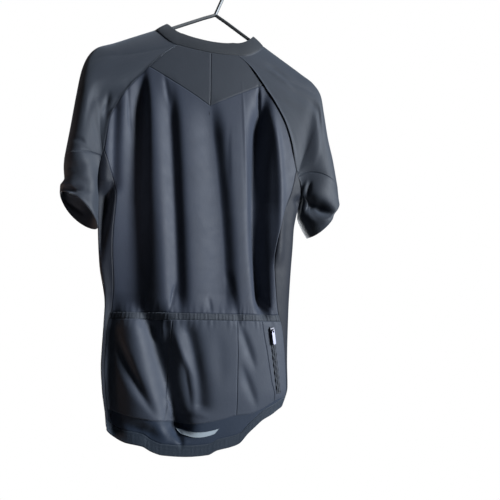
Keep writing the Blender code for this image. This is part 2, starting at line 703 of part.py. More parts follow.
def back_lower_grid():
    """The back behind the pockets and the tail. Rows: the elastic, the pockets, the tail."""
    elastic_foot = POCKET_TOP + ELASTIC_HEIGHT
    levels = np.concatenate(
        [
            np.linspace(POCKET_TOP, elastic_foot, ELASTIC_ROWS + 1),
            np.linspace(elastic_foot, POCKET_LEVEL, POCKET_ROWS + 1)[1:],
            np.linspace(POCKET_LEVEL, TAIL_LEVEL, TAIL_ROWS + 1)[1:],
        ]
    )
    x = columns(levels, smooth(SIDE_SEAM, "left", levels), -smooth(SIDE_SEAM, "right", levels))
    angle = back_angle(x, levels[:, None])
    foot = smooth(POCKET_FOOT, "down", x[ELASTIC_ROWS + POCKET_ROWS])
    end = hem_top(angle[-1])
    rows = [np.full_like(foot, level) for level in levels[: ELASTIC_ROWS + 1]]
    rows += [mix(elastic_foot, foot, row / POCKET_ROWS) for row in range(1, POCKET_ROWS + 1)]
    rows += [mix(foot, end, row / TAIL_ROWS) for row in range(1, TAIL_ROWS + 1)]
    return angle, np.array(rows)


def yoke_grid(side):
    """Half of the V-shaped yoke, from its centre seam to the raglan seam."""
    edge = raglan_down(seam_steps(YOKE_STEP, NECK_STEP), 1)[:, None]
    share = np.linspace(0, 1, BACK_HALF + 1)[None, :]
    x = seam_x(edge, side) * share
    rise = (YOKE_JOIN - edge) / (YOKE_JOIN - BACK_NECK)
    down = edge + mix(yoke_dip(share), BACK_NECK_DIP * (1 - share**2), rise)
    return back_angle(x, down), down


def front_grid(side):
    """One front, from the raglan and side seams to the zip."""
    steps = seam_steps(NECK_STEP, BAND_STEP)[:-1]
    upper = raglan_down(steps, -1)
    rows = BACK_ROWS + ELASTIC_ROWS + POCKET_ROWS + TAIL_ROWS
    lower = np.linspace(SIDE_JOIN, FRONT_LEVEL, rows + 1)
    edge = np.concatenate([upper, lower])
    behind = np.concatenate([raglan_down(steps, 1), lower])
    seam = np.where(edge < SIDE_JOIN, seam_x(behind, side), side * smooth(SIDE_SEAM, word(side), behind))
    share = np.linspace(0, 1, FRONT_COLUMNS + 1)[None, :]
    x = mix(seam[:, None], side * TAPE_HALF, share)
    dip = (1 - (x / seam[:, None]) ** 2) * FRONT_NECK_DIP
    down = edge[:, None] + dip * ease((SIDE_JOIN - edge) / (SIDE_JOIN - FRONT_NECK))[:, None]
    angle = front_angle(x, edge[:, None])
    end = hem_top(angle[-1])
    reach = ease((edge - HEM_REACH) / (edge[-1] - HEM_REACH))[:, None]
    return angle, down + (end - edge[-1])[None, :] * reach


def side_grid(side, back, lower, front):
    """A side panel: round the side from seam to seam, up to the armhole's foot."""
    column = -1 if side > 0 else 0
    rows = BACK_ROWS + ELASTIC_ROWS + POCKET_ROWS + TAIL_ROWS + 1
    angle_b, down_b = (np.concatenate([b[:, column], p[1:, column]])[-rows:] for b, p in zip(back, lower))
    angle_f, down_f = (f[-rows:, 0] for f in front)
    foot_b = armhole_foot(side, 1, seam_steps(BAND_STEP, 0))
    foot_f = armhole_foot(side, -1, seam_steps(0, BAND_STEP))
    corner = np.linspace(0, 1, round(1 / ROW_STEP) + 1)
    top = [
        np.concatenate([mix(b[0], fb[0], corner[:-1]), fb, ff[1:], mix(ff[-1], f[0], corner[1:])])
        for b, f, fb, ff in zip((angle_b, down_b), (angle_f, down_f), foot_b, foot_f)
    ]
    share = np.linspace(-1, 1, len(top[0]))
    edge = np.where(share < 0, angle_b[1:, None], angle_f[1:, None])
    angles = mix(side * np.pi / 2, edge, np.abs(share))
    fade = ease(1 - np.arange(1, rows)[:, None] / (SAG_ROWS * rows))
    downs = mix(down_b[1:, None], down_f[1:, None], (share + 1) / 2) + (top[1] - SIDE_JOIN) * fade
    downs[-1] = hem_top(angles[-1])
    return np.vstack([top[0], angles]), np.vstack([top[1], downs])


def build_body():
    back, lower = back_grid(), back_lower_grid()
    yoke_steps = seam_steps(YOKE_STEP, NECK_STEP)
    upper_steps = seam_steps(YOKE_STEP, BAND_STEP)[:-1]
    upper_rows = slice(0, len(upper_steps))
    rims = (
        (upper_rows, -1, seam_normal(1, 1, upper_steps)[0]),
        (upper_rows, 0, seam_normal(-1, 1, upper_steps)[0]),
    )
    body_piece("back_panel", back, BLACK_KNIT, rims=rims)
    body_piece("back_lower_panel", lower, TAIL_KNIT)
    front_steps = seam_steps(NECK_STEP, BAND_STEP)[:-1]
    hem = [[], []]
    for side in (1, -1):
        name = word(side)
        rim = (slice(None), -1, seam_normal(side, 1, yoke_steps)[0])
        body_piece(f"yoke_{name}", yoke_grid(side), BLACK_KNIT, rims=(rim,))
        front = front_grid(side)
        rim = (slice(0, len(front_steps)), 0, seam_normal(side, -1, front_steps)[0])
        body_piece(f"front_{name}", front, BLACK_KNIT, rims=(rim,))
        flank = side_grid(side, back, lower, front)
        corners = (
            (0, slice(0, 2), corner_normal(side, 1)),
            (0, slice(-2, None), corner_normal(side, -1)),
        )
        body_piece(f"side_panel_{name}", flank, BLACK_KNIT, rims=corners)
        body_piece(f"hem_band_front_{name}", hem_grid(front[0][-1]), RIB_KNIT)
        hem[side > 0] = flank[0][-1][::-1] if side < 0 else flank[0][-1]
    around = np.concatenate([hem[0][:-1], lower[0][-1], hem[1][1:]])
    body_piece("hem_band_back", hem_grid(around), RIB_KNIT)
    build_pockets(lower)


def hem_grid(angle):
    """The gripper band's two edges under a row of points."""
    top = hem_top(angle)
    return np.array([angle, angle]), np.array([top, top + HEM_HEIGHT])


def build_pockets(lower):
    """Pockets and their elastic, each on the back's own points, moved out."""
    angle, down = lower
    lift = LAYER + WALL
    body_piece("pocket_elastic", (angle[: ELASTIC_ROWS + 1], down[: ELASTIC_ROWS + 1]), RIB_KNIT, lift=lift)
    names = ("zip_pocket_panel", "pocket_right", "pocket_centre", "pocket_left")
    rows = slice(ELASTIC_ROWS, ELASTIC_ROWS + POCKET_ROWS + 1)
    start = 0
    for name, count in zip(names, POCKET_COLUMNS):
        across = slice(start, start + count + 1)
        body_piece(name, (angle[rows, across], down[rows, across]), BLACK_KNIT, lift=lift)
        start += count


def sleeve_piece(name, side, steps, places, colour):
    """A length of sleeve between two of its rows, over the columns of a half loop and back."""
    behind = steps / LOOP_STEPS
    ahead = (2 - behind)[::-1]
    closed = steps[0] == 0
    turns = np.concatenate([behind, ahead[1:-1] if closed else ahead[1:]])
    turn, place = np.meshgrid(turns, places)
    under = closed * (LOOP_STEPS * (1 - np.abs(turn - 1)) < BAND_STEP)
    at = np.maximum(place, np.where(under, BAND_PLACE + 0.1, 0.12))
    normal = normals(lambda u, v: sleeve(side, u, v), turn, at, side)
    for face, column in ((1, BAND_STEP * closed), (-1, -1 - (BAND_STEP - 1) * closed)):
        normal[slice(0, 1) if closed else slice(None), column] = corner_normal(side, face)
    if not closed:
        step = LOOP_STEPS * (1 - np.abs(turns - 1))
        face = np.where(turns <= 1, 1, -1)
        shared = seam_normal(side, face, np.minimum(step, NECK_STEP))[1]
        on_seam = (step > BAND_STEP + 0.5) & (step < NECK_STEP + 0.5)
        normal[0] = np.where(on_seam[:, None], shared, normal[0])
    outer = set_back(sleeve(side, turn, place), not closed, True)
    return wall(name, outer, outer - normal * WALL, colour, closed=closed)


SLEEVE_PLACES = (0.0, 0.6, 1.3, 2.0, 2.7, 3.3, 4.0, 5.0, 6.0, 7.0, 8.0)
BAND_PLACES = (8.0, 8.6, 9.2, 9.9, 10.6, 11.3, 12.0)


def build_sleeves():
    whole = np.arange(LOOP_STEPS + 1)
    for side in (1, -1):
        sleeve_piece(f"sleeve_{word(side)}", side, whole[BAND_STEP:], SLEEVE_PLACES, BLACK_KNIT)
        sleeve_piece(f"sleeve_band_{word(side)}", side, whole, BAND_PLACES, BLACK_KNIT)


def build_collar():
    """The collar, from one end at the zip round the neck to the other."""
    heights = np.linspace(0, 1, 3)
    halves = []
    for side in (-1, 1):
        end = 1 - NECK_CORNER * TAPE_HALF / abs(float(seam_x(np.array(BACK_NECK), side)))
        places = np.concatenate(
            [
                np.linspace(0, NECK_CORNER, BACK_HALF // 2 + 1),
                np.linspace(NECK_CORNER, 1 - NECK_CORNER, 2 * (LOOP_STEPS - NECK_STEP) + 1)[1:],
                np.linspace(1 - NECK_CORNER, end, FRONT_COLUMNS + 1)[1:],
            ]
        )
        place, height = np.meshgrid(places, heights)
        outer = collar(side, place, height)
        inside = np.clip(place, 0.003, 0.97)
        normal = normals(lambda u, v: collar(side, u, v), inside, np.clip(height, 0.01, 0.99), -side)
        if side < 0:
            outer, normal = outer[:, :0:-1], normal[:, :0:-1]
        halves.append((outer, normal))
    outer = np.concatenate([half[0] for half in halves], axis=1)
    normal = np.concatenate([half[1] for half in halves], axis=1)
    outer = set_back(outer, True, True)
    wall("collar", outer, outer - normal * WALL, BLACK_KNIT)


def build_reflective():
    """The reflective strip, on the tail."""
    share = np.linspace(-1, 1, 13)[None, :]
    row = np.linspace(0, 1, 3)[:, None]
    half = mix(REFLECTIVE_TOP[0], REFLECTIVE_FOOT[0], row)
    down = mix(REFLECTIVE_TOP[1], REFLECTIVE_FOOT[1], row) + REFLECTIVE_SAG * (1 - share**2)
    x = REFLECTIVE_CENTRE + half * share
    body_piece("reflective_tab", (back_angle(x, down), down), SILVER_FILM, lift=LAYER + FILM, thick=FILM)


# ---------------------------------------------------------------- zips


def front_strip(share, level):
    """The front zip's outer face: share -1 to 1 across it, level 0 at the hem, 1 at the neck, 2 on top."""
    share, level = np.broadcast_arrays(np.asarray(share, float), np.asarray(level, float))
    foot = smooth(HEM, "down", 180.0)
    neck_down = FRONT_NECK + FRONT_NECK_DIP * (1 - (TAPE_HALF / 0.056) ** 2)
    down = foot + (neck_down - foot) * np.clip(level, 0, 1)
    x = share * TAPE_HALF
    angle = np.pi - np.arcsin(x / half_width(down, x))
    on_body = body(angle, down)
    rise = np.clip(level - 1, 0, 1)
    lift = np.array([0.0, COLLAR[-1].back_shift, COLLAR[-1].rise])
    bulge = np.array([0.0, -COLLAR_BULGE, 0.0])
    return on_body + lift * rise[..., None] + bulge * np.sin(np.pi * rise)[..., None]


def build_front_tape():
    levels = np.concatenate([np.linspace(0, 1, 16), np.linspace(1, 2, 5)[1:]])
    share, level = np.meshgrid(np.linspace(-1, 1, 3), levels)
    normal = normals(front_strip, share, level, 1)
    normal = unit(normal * np.where(normal[..., 1:2] > 0, -1, 1))
    outer = front_strip(share, level)
    outer = set_back(outer, True, False)
    wall("front_zip_tape", outer, outer - normal * WALL, ZIP_TAPE)


def pocket_zip_line(share, level):
    """The pocket zip's tape, on the zip pocket's panel."""
    share, level = np.broadcast_arrays(np.asarray(share, float), np.asarray(level, float))
    x = ZIP_TOP[0] + (ZIP_BOTTOM[0] - ZIP_TOP[0]) * level + share * POCKET_TAPE_HALF
    down = ZIP_TOP[1] + (ZIP_BOTTOM[1] - ZIP_TOP[1]) * level
    angle = back_angle(x, down)
    return body(angle, down) + normals(body, angle, down, 1) * (2 * LAYER + WALL + TAPE_WALL)


def build_pocket_tape():
    share, level = np.meshgrid(np.linspace(-1, 1, 3), np.linspace(0, 1, 12))
    outer = pocket_zip_line(share, level)
    x = ZIP_TOP[0] + (ZIP_BOTTOM[0] - ZIP_TOP[0]) * level
    down = ZIP_TOP[1] + (ZIP_BOTTOM[1] - ZIP_TOP[1]) * level
    normal = normals(body, back_angle(x, down), down, 1)
    wall("zip_pocket_tape", outer, outer - normal * TAPE_WALL, ZIP_TAPE)


def zip_frame(place, up, out):
    """A slider's own axes: X across the zip, Y up along it, Z out of the cloth."""
    up, out = Vector(up).normalized(), Vector(out).normalized()
    across = up.cross(out).normalized()
    out = across.cross(up)
    matrix = Matrix((across, up, out)).transposed().to_4x4()
    matrix.translation = Vector(place)
    return matrix


def bridge_height():
    return SLIDER_GAP + SLIDER_THICKNESS + BRIDGE_INSIDE


def build_slider(name, frame):
    """A slider: a waisted body with a bridge over the pull's bar."""
    outline = ((-0.30, -0.5), (0.30, -0.5), (0.5, 0.05), (0.5, 0.5), (-0.5, 0.5), (-0.5, 0.05))
    curve = bpy.data.curves.new(name, "CURVE")
    curve.dimensions = "2D"
    curve.fill_mode = "BOTH"
    curve.extrude = SLIDER_THICKNESS / 2
    line = curve.splines.new("POLY")
    line.points.add(len(outline) - 1)
    for point, (x, y) in zip(line.points, outline):
        point.co = (x * SLIDER_WIDTH, y * SLIDER_LENGTH, 0, 1)
    line.use_cyclic_u = True
    plate = mesh_of(curve, name, Matrix.Translation((0, 0, SLIDER_GAP + SLIDER_THICKNESS / 2)))

    arch = bpy.data.curves.new(name + "_bridge", "CURVE")
    arch.dimensions = "2D"
    arch.fill_mode = "BOTH"
    arch.extrude = 0.001
    leg = BRIDGE_INSIDE + 0.0006
    turns = [math.pi * step / 8 for step in range(9)]
    outside = [(math.cos(a), math.sin(a)) for a in turns]
    shape = [(x * (BRIDGE_INSIDE + BRIDGE_BAND), y * (BRIDGE_INSIDE + BRIDGE_BAND)) for x, y in outside]
    shape += [(-BRIDGE_INSIDE - BRIDGE_BAND, -leg), (-BRIDGE_INSIDE, -leg)]
    shape += [(x * BRIDGE_INSIDE, y * BRIDGE_INSIDE) for x, y in reversed(outside)]
    shape += [(BRIDGE_INSIDE, -leg), (BRIDGE_INSIDE + BRIDGE_BAND, -leg)]
    line = arch.splines.new("POLY")
    line.points.add(len(shape) - 1)
    for point, (x, y) in zip(line.points, shape):
        point.co = (x, y, 0, 1)
    line.use_cyclic_u = True
    stand = Matrix(((0, 0, 1, 0), (1, 0, 0, 0), (0, 1, 0, bridge_height()), (0, 0, 0, 1)))
    bridge = mesh_of(arch, name + "_bridge", stand)
    joined = union(plate, bridge, name, SLIDER_METAL)
    joined.matrix_world = frame
    return joined


def build_pull(name, frame):
    """A pull tab with a square eye. Its origin is the middle of the eye's top bar, the hinge."""
    bar = PULL_THICKNESS / 2
    half, eye = PULL_WIDTH / 2, PULL_EYE / 2
    curve = bpy.data.curves.new(name, "CURVE")
    curve.dimensions = "2D"
    curve.fill_mode = "BOTH"
    curve.extrude = PULL_THICKNESS / 2
    end = -PULL_LENGTH + bar
    turns = [math.pi * (1 + step / 8) for step in range(9)]
    outline = [(math.cos(a) * half, end + half + math.sin(a) * half) for a in turns]
    outline += [(half, bar - 0.0004), (half - 0.0006, bar), (-half + 0.0006, bar), (-half, bar - 0.0004)]
    hole = [(-eye, -bar), (eye, -bar), (eye, -bar - 0.0030), (-eye, -bar - 0.0030)]
    for shape in (outline, hole):
        line = curve.splines.new("POLY")
        line.points.add(len(shape) - 1)
        for point, (x, y) in zip(line.points, shape):
            point.co = (x, y, 0, 1)
        line.use_cyclic_u = True
    mesh = mesh_of(curve, name, Matrix.Identity(4))
    pull = add_object(name, mesh, PULL_METAL)
    hinge = bpy.data.objects.new(name + "_hinge", None)
    bpy.data.collections["cycling_jersey"].objects.link(hinge)
    hinge.matrix_world = frame @ Matrix.Translation((0, 0, bridge_height()))
    pull.parent = hinge
    return pull


def mesh_of(curve, name, matrix):
    """The solid of a filled curve, with its caps welded, moved by matrix."""
    helper = bpy.data.objects.new(name + "_curve", curve)
    bpy.context.scene.collection.objects.link(helper)
    graph = bpy.context.evaluated_depsgraph_get()
    data = bpy.data.meshes.new_from_object(helper.evaluated_get(graph))
    bpy.data.objects.remove(helper)
    mesh = bmesh.new()
    mesh.from_mesh(data)
    bmesh.ops.remove_doubles(mesh, verts=mesh.verts, dist=0.00001)
    bmesh.ops.recalc_face_normals(mesh, faces=mesh.faces)
    bmesh.ops.transform(mesh, matrix=matrix, verts=mesh.verts)
    mesh.to_mesh(data)
    mesh.free()
    return data


def union(first, second, name, colour):
    """Joins two solids into one object."""
    body_object = add_object(name, first, colour)
    tool = bpy.data.objects.new(name + "_tool", second)
    tool.hide_render = True
    tool.display_type = "WIRE"
    bpy.data.collections["cutters"].objects.link(tool)
    modifier = body_object.modifiers.new("Join", "BOOLEAN")
    modifier.operation = "UNION"
    modifier.solver = "EXACT"
    modifier.object = tool
    graph = bpy.context.evaluated_depsgraph_get()
    data = bpy.data.meshes.new_from_object(body_object.evaluated_get(graph))
    body_object.modifiers.clear()
    body_object.data = data
    bpy.data.objects.remove(tool)
    return body_object


def build_zips():
    build_front_tape()
    build_pocket_tape()
    place = front_strip(0.0, FRONT_SLIDER_LEVEL)
    up = front_strip(0.0, FRONT_SLIDER_LEVEL + 0.05) - front_strip(0.0, FRONT_SLIDER_LEVEL - 0.05)
    frame = zip_frame(place, up, (0, -1, 0))
    build_slider("front_zip_slider", frame)
    build_pull("front_zip_pull", frame)
    place = pocket_zip_line(0.0, POCKET_SLIDER_LEVEL)
    up = pocket_zip_line(0.0, 0.0) - pocket_zip_line(0.0, 2 * POCKET_SLIDER_LEVEL)
    x, down = (mix(top, bottom, POCKET_SLIDER_LEVEL) for top, bottom in zip(ZIP_TOP, ZIP_BOTTOM))
    out = normals(body, back_angle(x, down), np.array(down), 1)
    frame = zip_frame(place, up, out)
    build_slider("zip_pocket_slider", frame)
    build_pull("zip_pocket_pull", frame)


# ---------------------------------------------------------------- hanger


def tube_mesh(name, points):
    curve = bpy.data.curves.new(name, "CURVE")
    curve.dimensions = "3D"
    curve.bevel_depth = TUBE
    curve.bevel_resolution = 2
    curve.use_fill_caps = True
    line = curve.splines.new("POLY")
    line.points.add(len(points) - 1)
    for point, (x, z) in zip(line.points, points):
        point.co = (x, 0, z, 1)
    return mesh_of(curve, name, Matrix.Identity(4))


def arm_points():
    """Both arms in one line, bent at the middle, with their ends turned down a little."""
    right = [(-ARM_REACH * s, -ARM_TOP - ARM_SLOPE * ARM_REACH * s) for s in (1, 0.97, 0.85, 0.6, 0.35, 0.12)]
    left = [(-x, z) for x, z in reversed(right)]
    bend = [(-0.008, -ARM_TOP - 0.0052), (0, -ARM_TOP - 0.0012), (0.008, -ARM_TOP - 0.0052)]
    return right + bend + left


def hook_points():
    """The hook: from the arms' bend, leaning right, then round over the rail."""
    radius = HOOK_RADIUS + TUBE
    centre_z = -HOOK_RADIUS
    start_z = -ARM_TOP - 0.001
    reach = centre_z - start_z
    lean = math.asin(radius / reach)
    first = math.pi + lean
    last = -math.radians(25)
    turns = np.linspace(first, last, 19)
    arc = [(radius * math.cos(a), centre_z + radius * math.sin(a)) for a in turns]
    return [(0.0, start_z)] + arc


def build_hanger():
    arms = tube_mesh("hanger_arms", arm_points())
    hook = tube_mesh("hanger_hook", hook_points())
    hanger = union(arms, hook, "hanger", GREY_COATING)
    hanger.data.shade_smooth()
    hanger.data.set_sharp_from_angle(angle=math.radians(60))


# ---------------------------------------------------------------- main


def clear():
    for thing in list(bpy.data.objects):
        bpy.data.objects.remove(thing, do_unlink=True)
    for name in ("cycling_jersey", "cutters"):
        bpy.context.scene.collection.children.link(bpy.data.collections.new(name))


def main():
    clear()
    build_hanger()
    build_body()
    build_sleeves()
    build_collar()
    build_reflective()
    build_zips()


main()
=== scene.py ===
"""Looks of the cycling jersey on its hanger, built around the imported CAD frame.

Metres, +Z up, the frame's own origin: the inner top of the hanger's hook. The
garment's back faces +Y, and left and right are the wearer's. Heights are given as
`down` from the origin and widths from the garment's centre line.
"""

import itertools
import math
from collections import namedtuple

import bpy
import numpy as np
from mathutils import Matrix, Vector


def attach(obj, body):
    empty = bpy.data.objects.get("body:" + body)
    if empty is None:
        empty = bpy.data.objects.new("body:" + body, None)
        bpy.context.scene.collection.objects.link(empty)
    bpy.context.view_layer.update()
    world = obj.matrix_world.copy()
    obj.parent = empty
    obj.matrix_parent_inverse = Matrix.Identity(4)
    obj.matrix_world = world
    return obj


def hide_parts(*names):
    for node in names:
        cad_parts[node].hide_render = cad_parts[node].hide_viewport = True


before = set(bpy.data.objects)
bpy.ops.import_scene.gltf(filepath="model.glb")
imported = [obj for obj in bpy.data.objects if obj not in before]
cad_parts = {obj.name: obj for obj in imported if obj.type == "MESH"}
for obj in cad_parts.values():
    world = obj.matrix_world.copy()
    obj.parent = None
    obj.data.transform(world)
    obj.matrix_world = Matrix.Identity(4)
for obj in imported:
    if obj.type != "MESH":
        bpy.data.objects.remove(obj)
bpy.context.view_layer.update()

PLAIN = {"degrees", "place", "turn", "length", "spread", "lean", "skew"}  # aren't lengths


def metres(number):
    """A length in millimetres, or a group of them. A length given twice stays the same."""
    if isinstance(number, tuple):
        return tuple(metres(part) for part in number)
    return round(number / 1000, 6)


def table(names, *rows):
    """Rows with named columns, all in millimetres but the PLAIN ones, and kept in metres."""
    kind = namedtuple("Row", names)
    return tuple(kind(*(n if c in PLAIN else metres(n) for c, n in zip(kind._fields, row))) for row in rows)


# Cloth
WALL = 0.0014
FOOT_GAP = 0.0007  # clearance under the arm, where sleeve and side hang close together
LAYER = 0.0004  # clearance under a piece that lies on another
CENTRE = 0.013  # the garment's centre line, to its left of the hook
SIDE_BLUNT = 0.75  # below 1 the body's sections are fuller than an ellipse
SIDE_FADE_IN = 0.45  # cosine of the angle from which the folds fade towards the sides

# Seam heights
UNDERARM = 0.412
SIDE_JOIN = 0.372  # where the side seam meets the raglan seam
YOKE_JOIN = 0.221  # where the yoke's V meets the raglan seam
YOKE_POINT = 0.278
BACK_NECK = 0.171
BACK_NECK_DIP = 0.005
FRONT_NECK = 0.182
FRONT_NECK_DIP = 0.032
FRONT_NECK_HALF = 0.056
YOKE_CURVE = 1.05  # above 1 the yoke's V is hollow
POCKET_TOP = 0.637
ELASTIC_HEIGHT = 0.011
HEM_HEIGHT = 0.0175

# Zips
TAPE_HALF = 0.0062  # the front zip's tape
POCKET_TAPE_HALF = 0.0035
TAPE_WALL = 0.0010

SECTIONS = table(
    "down left right back front",
    (120, 70, 96, 22, 24),
    (145, 110, 136, 26, 28),
    (175, 164, 190, 30, 33),
    (210, 199, 213, 33, 35),
    (260, 199, 211, 37, 36),
    (320, 193, 203, 40, 37),
    (372, 186, 194, 41, 37),
    (412, 184, 189, 41, 37),
    (430, 182, 182, 41, 37),
    (450, 179, 177, 41, 37),
    (480, 176, 171, 42, 37),
    (510, 174, 169, 42, 37),
    (560, 169, 165, 42, 37),
    (630, 157, 161, 41, 36),
    (715, 158, 159, 42, 36),
    (760, 154, 160, 42, 35),
    (800, 147, 148, 40, 34),
    (865, 140, 138, 37, 33),
)

# The raglan seam, and below SIDE_JOIN the armhole's foot
RAGLAN = table(
    "down left right",
    (171, 60, 52),
    (186, 76, 71),
    (214, 101, 94),
    (247, 128, 119),
    (288, 154, 144),
    (321, 167, 156),
    (372, 173, 168),
    (398, 179, 179),
    (412, 184, 189),
)
SIDE_SEAM = table(
    "down left right",
    (372, 173, 168),
    (413, 157, 158),
    (446, 149, 146),
    (511, 151, 128),
    (540, 150, 124),
    (605, 145, 129),
    (637, 146, 134),
    (660, 150, 141),
    (720, 152, 148),
    (760, 148, 151),
    (800, 142, 141),
    (865, 135, 131),
)

# The hem's height round the body: 0 at the back's middle, 90 at its left
HEM = table(
    "degrees down",
    (-180, 778),
    (-120, 785),
    (-90, 792),
    (-70, 796),
    (-57, 804),
    (-47, 811),
    (-40, 821),
    (-34, 831),
    (-27, 846),
    (-21, 850),
    (-11, 854),
    (-5, 860),
    (5, 861),
    (25, 857),
    (33, 851),
    (40, 843),
    (56, 837),
    (70, 829),
    (85, 818),
    (105, 804),
    (140, 784),
    (180, 778),
)

# Folds: a positive depth is a valley, a negative one a ridge. Each runs from start to
# end, and has its place x from the centre line and the reach of its left and right
# walls at its top, its middle and its foot.
BACK_FOLDS = table(
    "start end x left right depth",
    (208, 665, (117, 113, 110), (12, 42, 70), (6, 13, 30), 21.5),
    (225, 655, (74, 55, 41), (18, 17, 15), (10, 10, 12), 11),
    (250, 650, (4, -24, -39), (30, 38, 43), (13, 13, 13), 11.5),
    (222, 655, (-105, -89, -107), (20, 12, 10), (8, 25, 9), 30),
    (262, 450, (158, 157, 154), (8, 8, 8), (8, 9, 10), 6),
    (420, 570, (158, 167, 178), (30, 30, 30), (6, 7, 8), 16),
    (260, 560, (-114, -134, -130), (8, 9, 10), (8, 9, 10), -5.5),
    (560, 660, (-40, -50, -60), (6, 6, 7), (6, 6, 7), 2.2),
    (612, 840, (101, 61, 30), (18, 22, 20), (25, 24, 15), 24),
    (600, 850, (156, 152, 140), (30, 30, 30), (28, 30, 34), 21),
    (636, 800, (38, 12, 2), (14, 14, 14), (14, 11, 14), 8),
)
FRONT_FOLDS = table(
    "start end x left right depth",
    (230, 720, (112, 106, 94), (20, 23, 26), (20, 23, 26), 12),
    (260, 660, (62, 56, 46), (17, 18, 20), (17, 18, 20), 6.5),
    (300, 740, (-48, -42, -50), (17, 18, 20), (17, 18, 20), 6),
    (225, 690, (-116, -108, -98), (21, 23, 25), (21, 23, 25), 12.5),
    (420, 750, (20, 26, 34), (15, 16, 17), (15, 16, 17), 4),
    (400, 560, (158, 148, 146), (15, 16, 16), (15, 16, 16), 7),
    (390, 570, (-160, -146, -142), (15, 16, 16), (15, 16, 16), 7),
)
FADE_IN = 0.22  # share of its length over which a fold starts
FADE_OUT = 0.12

# Sleeves: rows from the raglan seam (0) to the band's seam (8). Each runs from
# the armhole's foot to its outer end, bowed towards the neck, with its depths
# behind and in front.
LEFT_ROWS = table(
    "place outer_x outer_down bow back front",
    (0, 110, 137, 0, 26, 28),
    (1, 145, 156.3, 0, 27, 28),
    (2, 180, 175.8, 0, 27, 28),
    (3, 206.5, 189.5, 0, 28, 29),
    (4, 219.5, 206, 0, 29, 30),
    (5, 229, 235, 0, 30, 31),
    (6, 235, 281, 1, 31, 31),
    (7, 240.5, 335, 2, 32, 32),
    (8, 246.5, 388, 4, 32, 32),
)
RIGHT_ROWS = table(
    "place outer_x outer_down bow back front",
    (0, 95, 128.5, 0, 26, 28),
    (1, 133, 149.6, 0, 27, 28),
    (2, 170, 170.3, 0, 27, 28),
    (3, 199, 188, 0, 28, 29),
    (4, 212.5, 207, 0, 29, 30),
    (5, 219, 243, 2, 30, 31),
    (6, 227.5, 295, 5, 31, 31),
    (7, 238.5, 343, 10, 32, 32),
    (8, 247, 394, 14, 32, 32),
)
# The lower sleeve's rings, from its seam (8) to the cuff (12)
LEFT_RINGS = table(
    "place outer_x outer_down inner_x inner_down bow back front",
    (8, 246.5, 388, 197.5, 413, 14, 33, 33),
    (9, 247, 405, 194, 430, 10, 34, 34),
    (10, 244.5, 424, 189, 452, 4, 31, 33),
    (11, 250, 437, 188, 477, -4, 34, 35),
    (12, 250, 448, 187, 501, -10, 35, 36),
)
RIGHT_RINGS = table(
    "place outer_x outer_down inner_x inner_down bow back front",
    (8, 247, 394, 176, 413, 16, 33, 33),
    (9, 248.5, 404, 174.5, 435, 12, 34, 34),
    (10, 249, 414, 170.5, 455, 2, 32, 33),
    (11, 248, 422, 179, 475, -7, 34, 35),
    (12, 239, 432, 190, 492.5, -7, 30, 34),
)
BAND_PLACE = 8
LEFT_CUFF_RISE = 0.019  # the left cuff's back edge is pushed up, so its inside shows
CUFF_RISE_STARTS = 10.0
CUFF_PLACE = 12
RAGLAN_SHAPE_ENDS = 4.5  # row by which the raglan seam's own curve is gone
ROUNDING_STARTS = 0.62  # share of a row from which it turns towards the outer edge
BAND_BLEND = 1.8  # rings by which the armhole's shape is gone from the lower sleeve
BOW_SKEW = 0.7  # below 1 a row is bowed most near the armhole
RING_BOW = 1.5
RING_BLUNT = 0.8  # below 1 the lower sleeve is fuller than an ellipse
CREASE_CLEAR = 0.012  # no creases where a sleeve is thinner than this

# Columns of a sleeve's half loop: 0 at the underarm, LOOP_STEPS at the shoulder line
LOOP_STEPS = 15
BAND_STEP = 2  # where the band's seam starts on the armhole
YOKE_STEP = 8
NECK_STEP = 11
BAND_CORNER = 0.384  # height of that start

# Creases on the sleeves: place along, turn round (0 underarm, 1 shoulder line, 2 underarm)
LEFT_CREASES = table(
    "place turn length spread lean depth",
    (3.4, 0.44, 2.2, 0.05, 0.03, 4),
    (9.8, 0.55, 0.45, 0.28, 0, 1.5),
    (11.2, 0.72, 0.9, 0.07, -0.06, 1.5),
    (6, 1.45, 2.6, 0.06, 0.03, 4),
    (10.2, 1.5, 0.45, 0.26, 0, 4),
)
RIGHT_CREASES = table(
    "place turn length spread lean depth",
    (4, 0.6, 1.8, 0.05, -0.03, 3),
    (9.4, 0.62, 0.5, 0.26, 0.02, 2),
    (10.2, 0.3, 1.2, 0.05, 0.04, 1),
    (6.5, 1.52, 2.4, 0.06, -0.03, 4),
    (10, 1.48, 0.5, 0.26, 0, 4.5),
)

# The collar stands on the neck seam: 0 at the back's middle, 1 at the front's
COLLAR = table(
    "place inward back_shift rise",
    (0, 0, -3, 24),
    (0.2, 3, -3, 24.5),
    (0.34, 10, -3, 25),
    (0.5, 20.5, 0, 16.5),
    (0.66, 10, 4, 27),
    (0.85, 3, 6, 33),
    (0.95, 0, 6, 34),
    (1, 0, 6, 34),
)
COLLAR_BULGE = 0.0015
NECK_CORNER = 0.34  # place on the neck seam where the raglan seam meets it
NEAR_MIDDLE = 1e-9  # keeps the front's middle on its own side

# Pockets: their borders across the back, and their lower edges
BORDERS = table(
    "down zip_edge right_divider left_divider",
    (637, -99, -55, 52),
    (665, -102.5, -55.8, 52),
    (715, -111.5, -56.8, 53),
    (780, -120.5, -56.8, 57),
    (865, -113, -54, 59),
)
POCKET_FOOT = table(
    "x down",
    (-155, 772),
    (-127, 778),
    (-101, 792),
    (-80, 799),
    (-58, 800),
    (-30, 806),
    (0, 810),
    (27, 812),
    (58, 807),
    (97, 801),
    (155, 786),
)

# The pocket zip runs down this line
ZIP_TOP = (-0.1178, 0.657)
ZIP_BOTTOM = (-0.1338, 0.768)

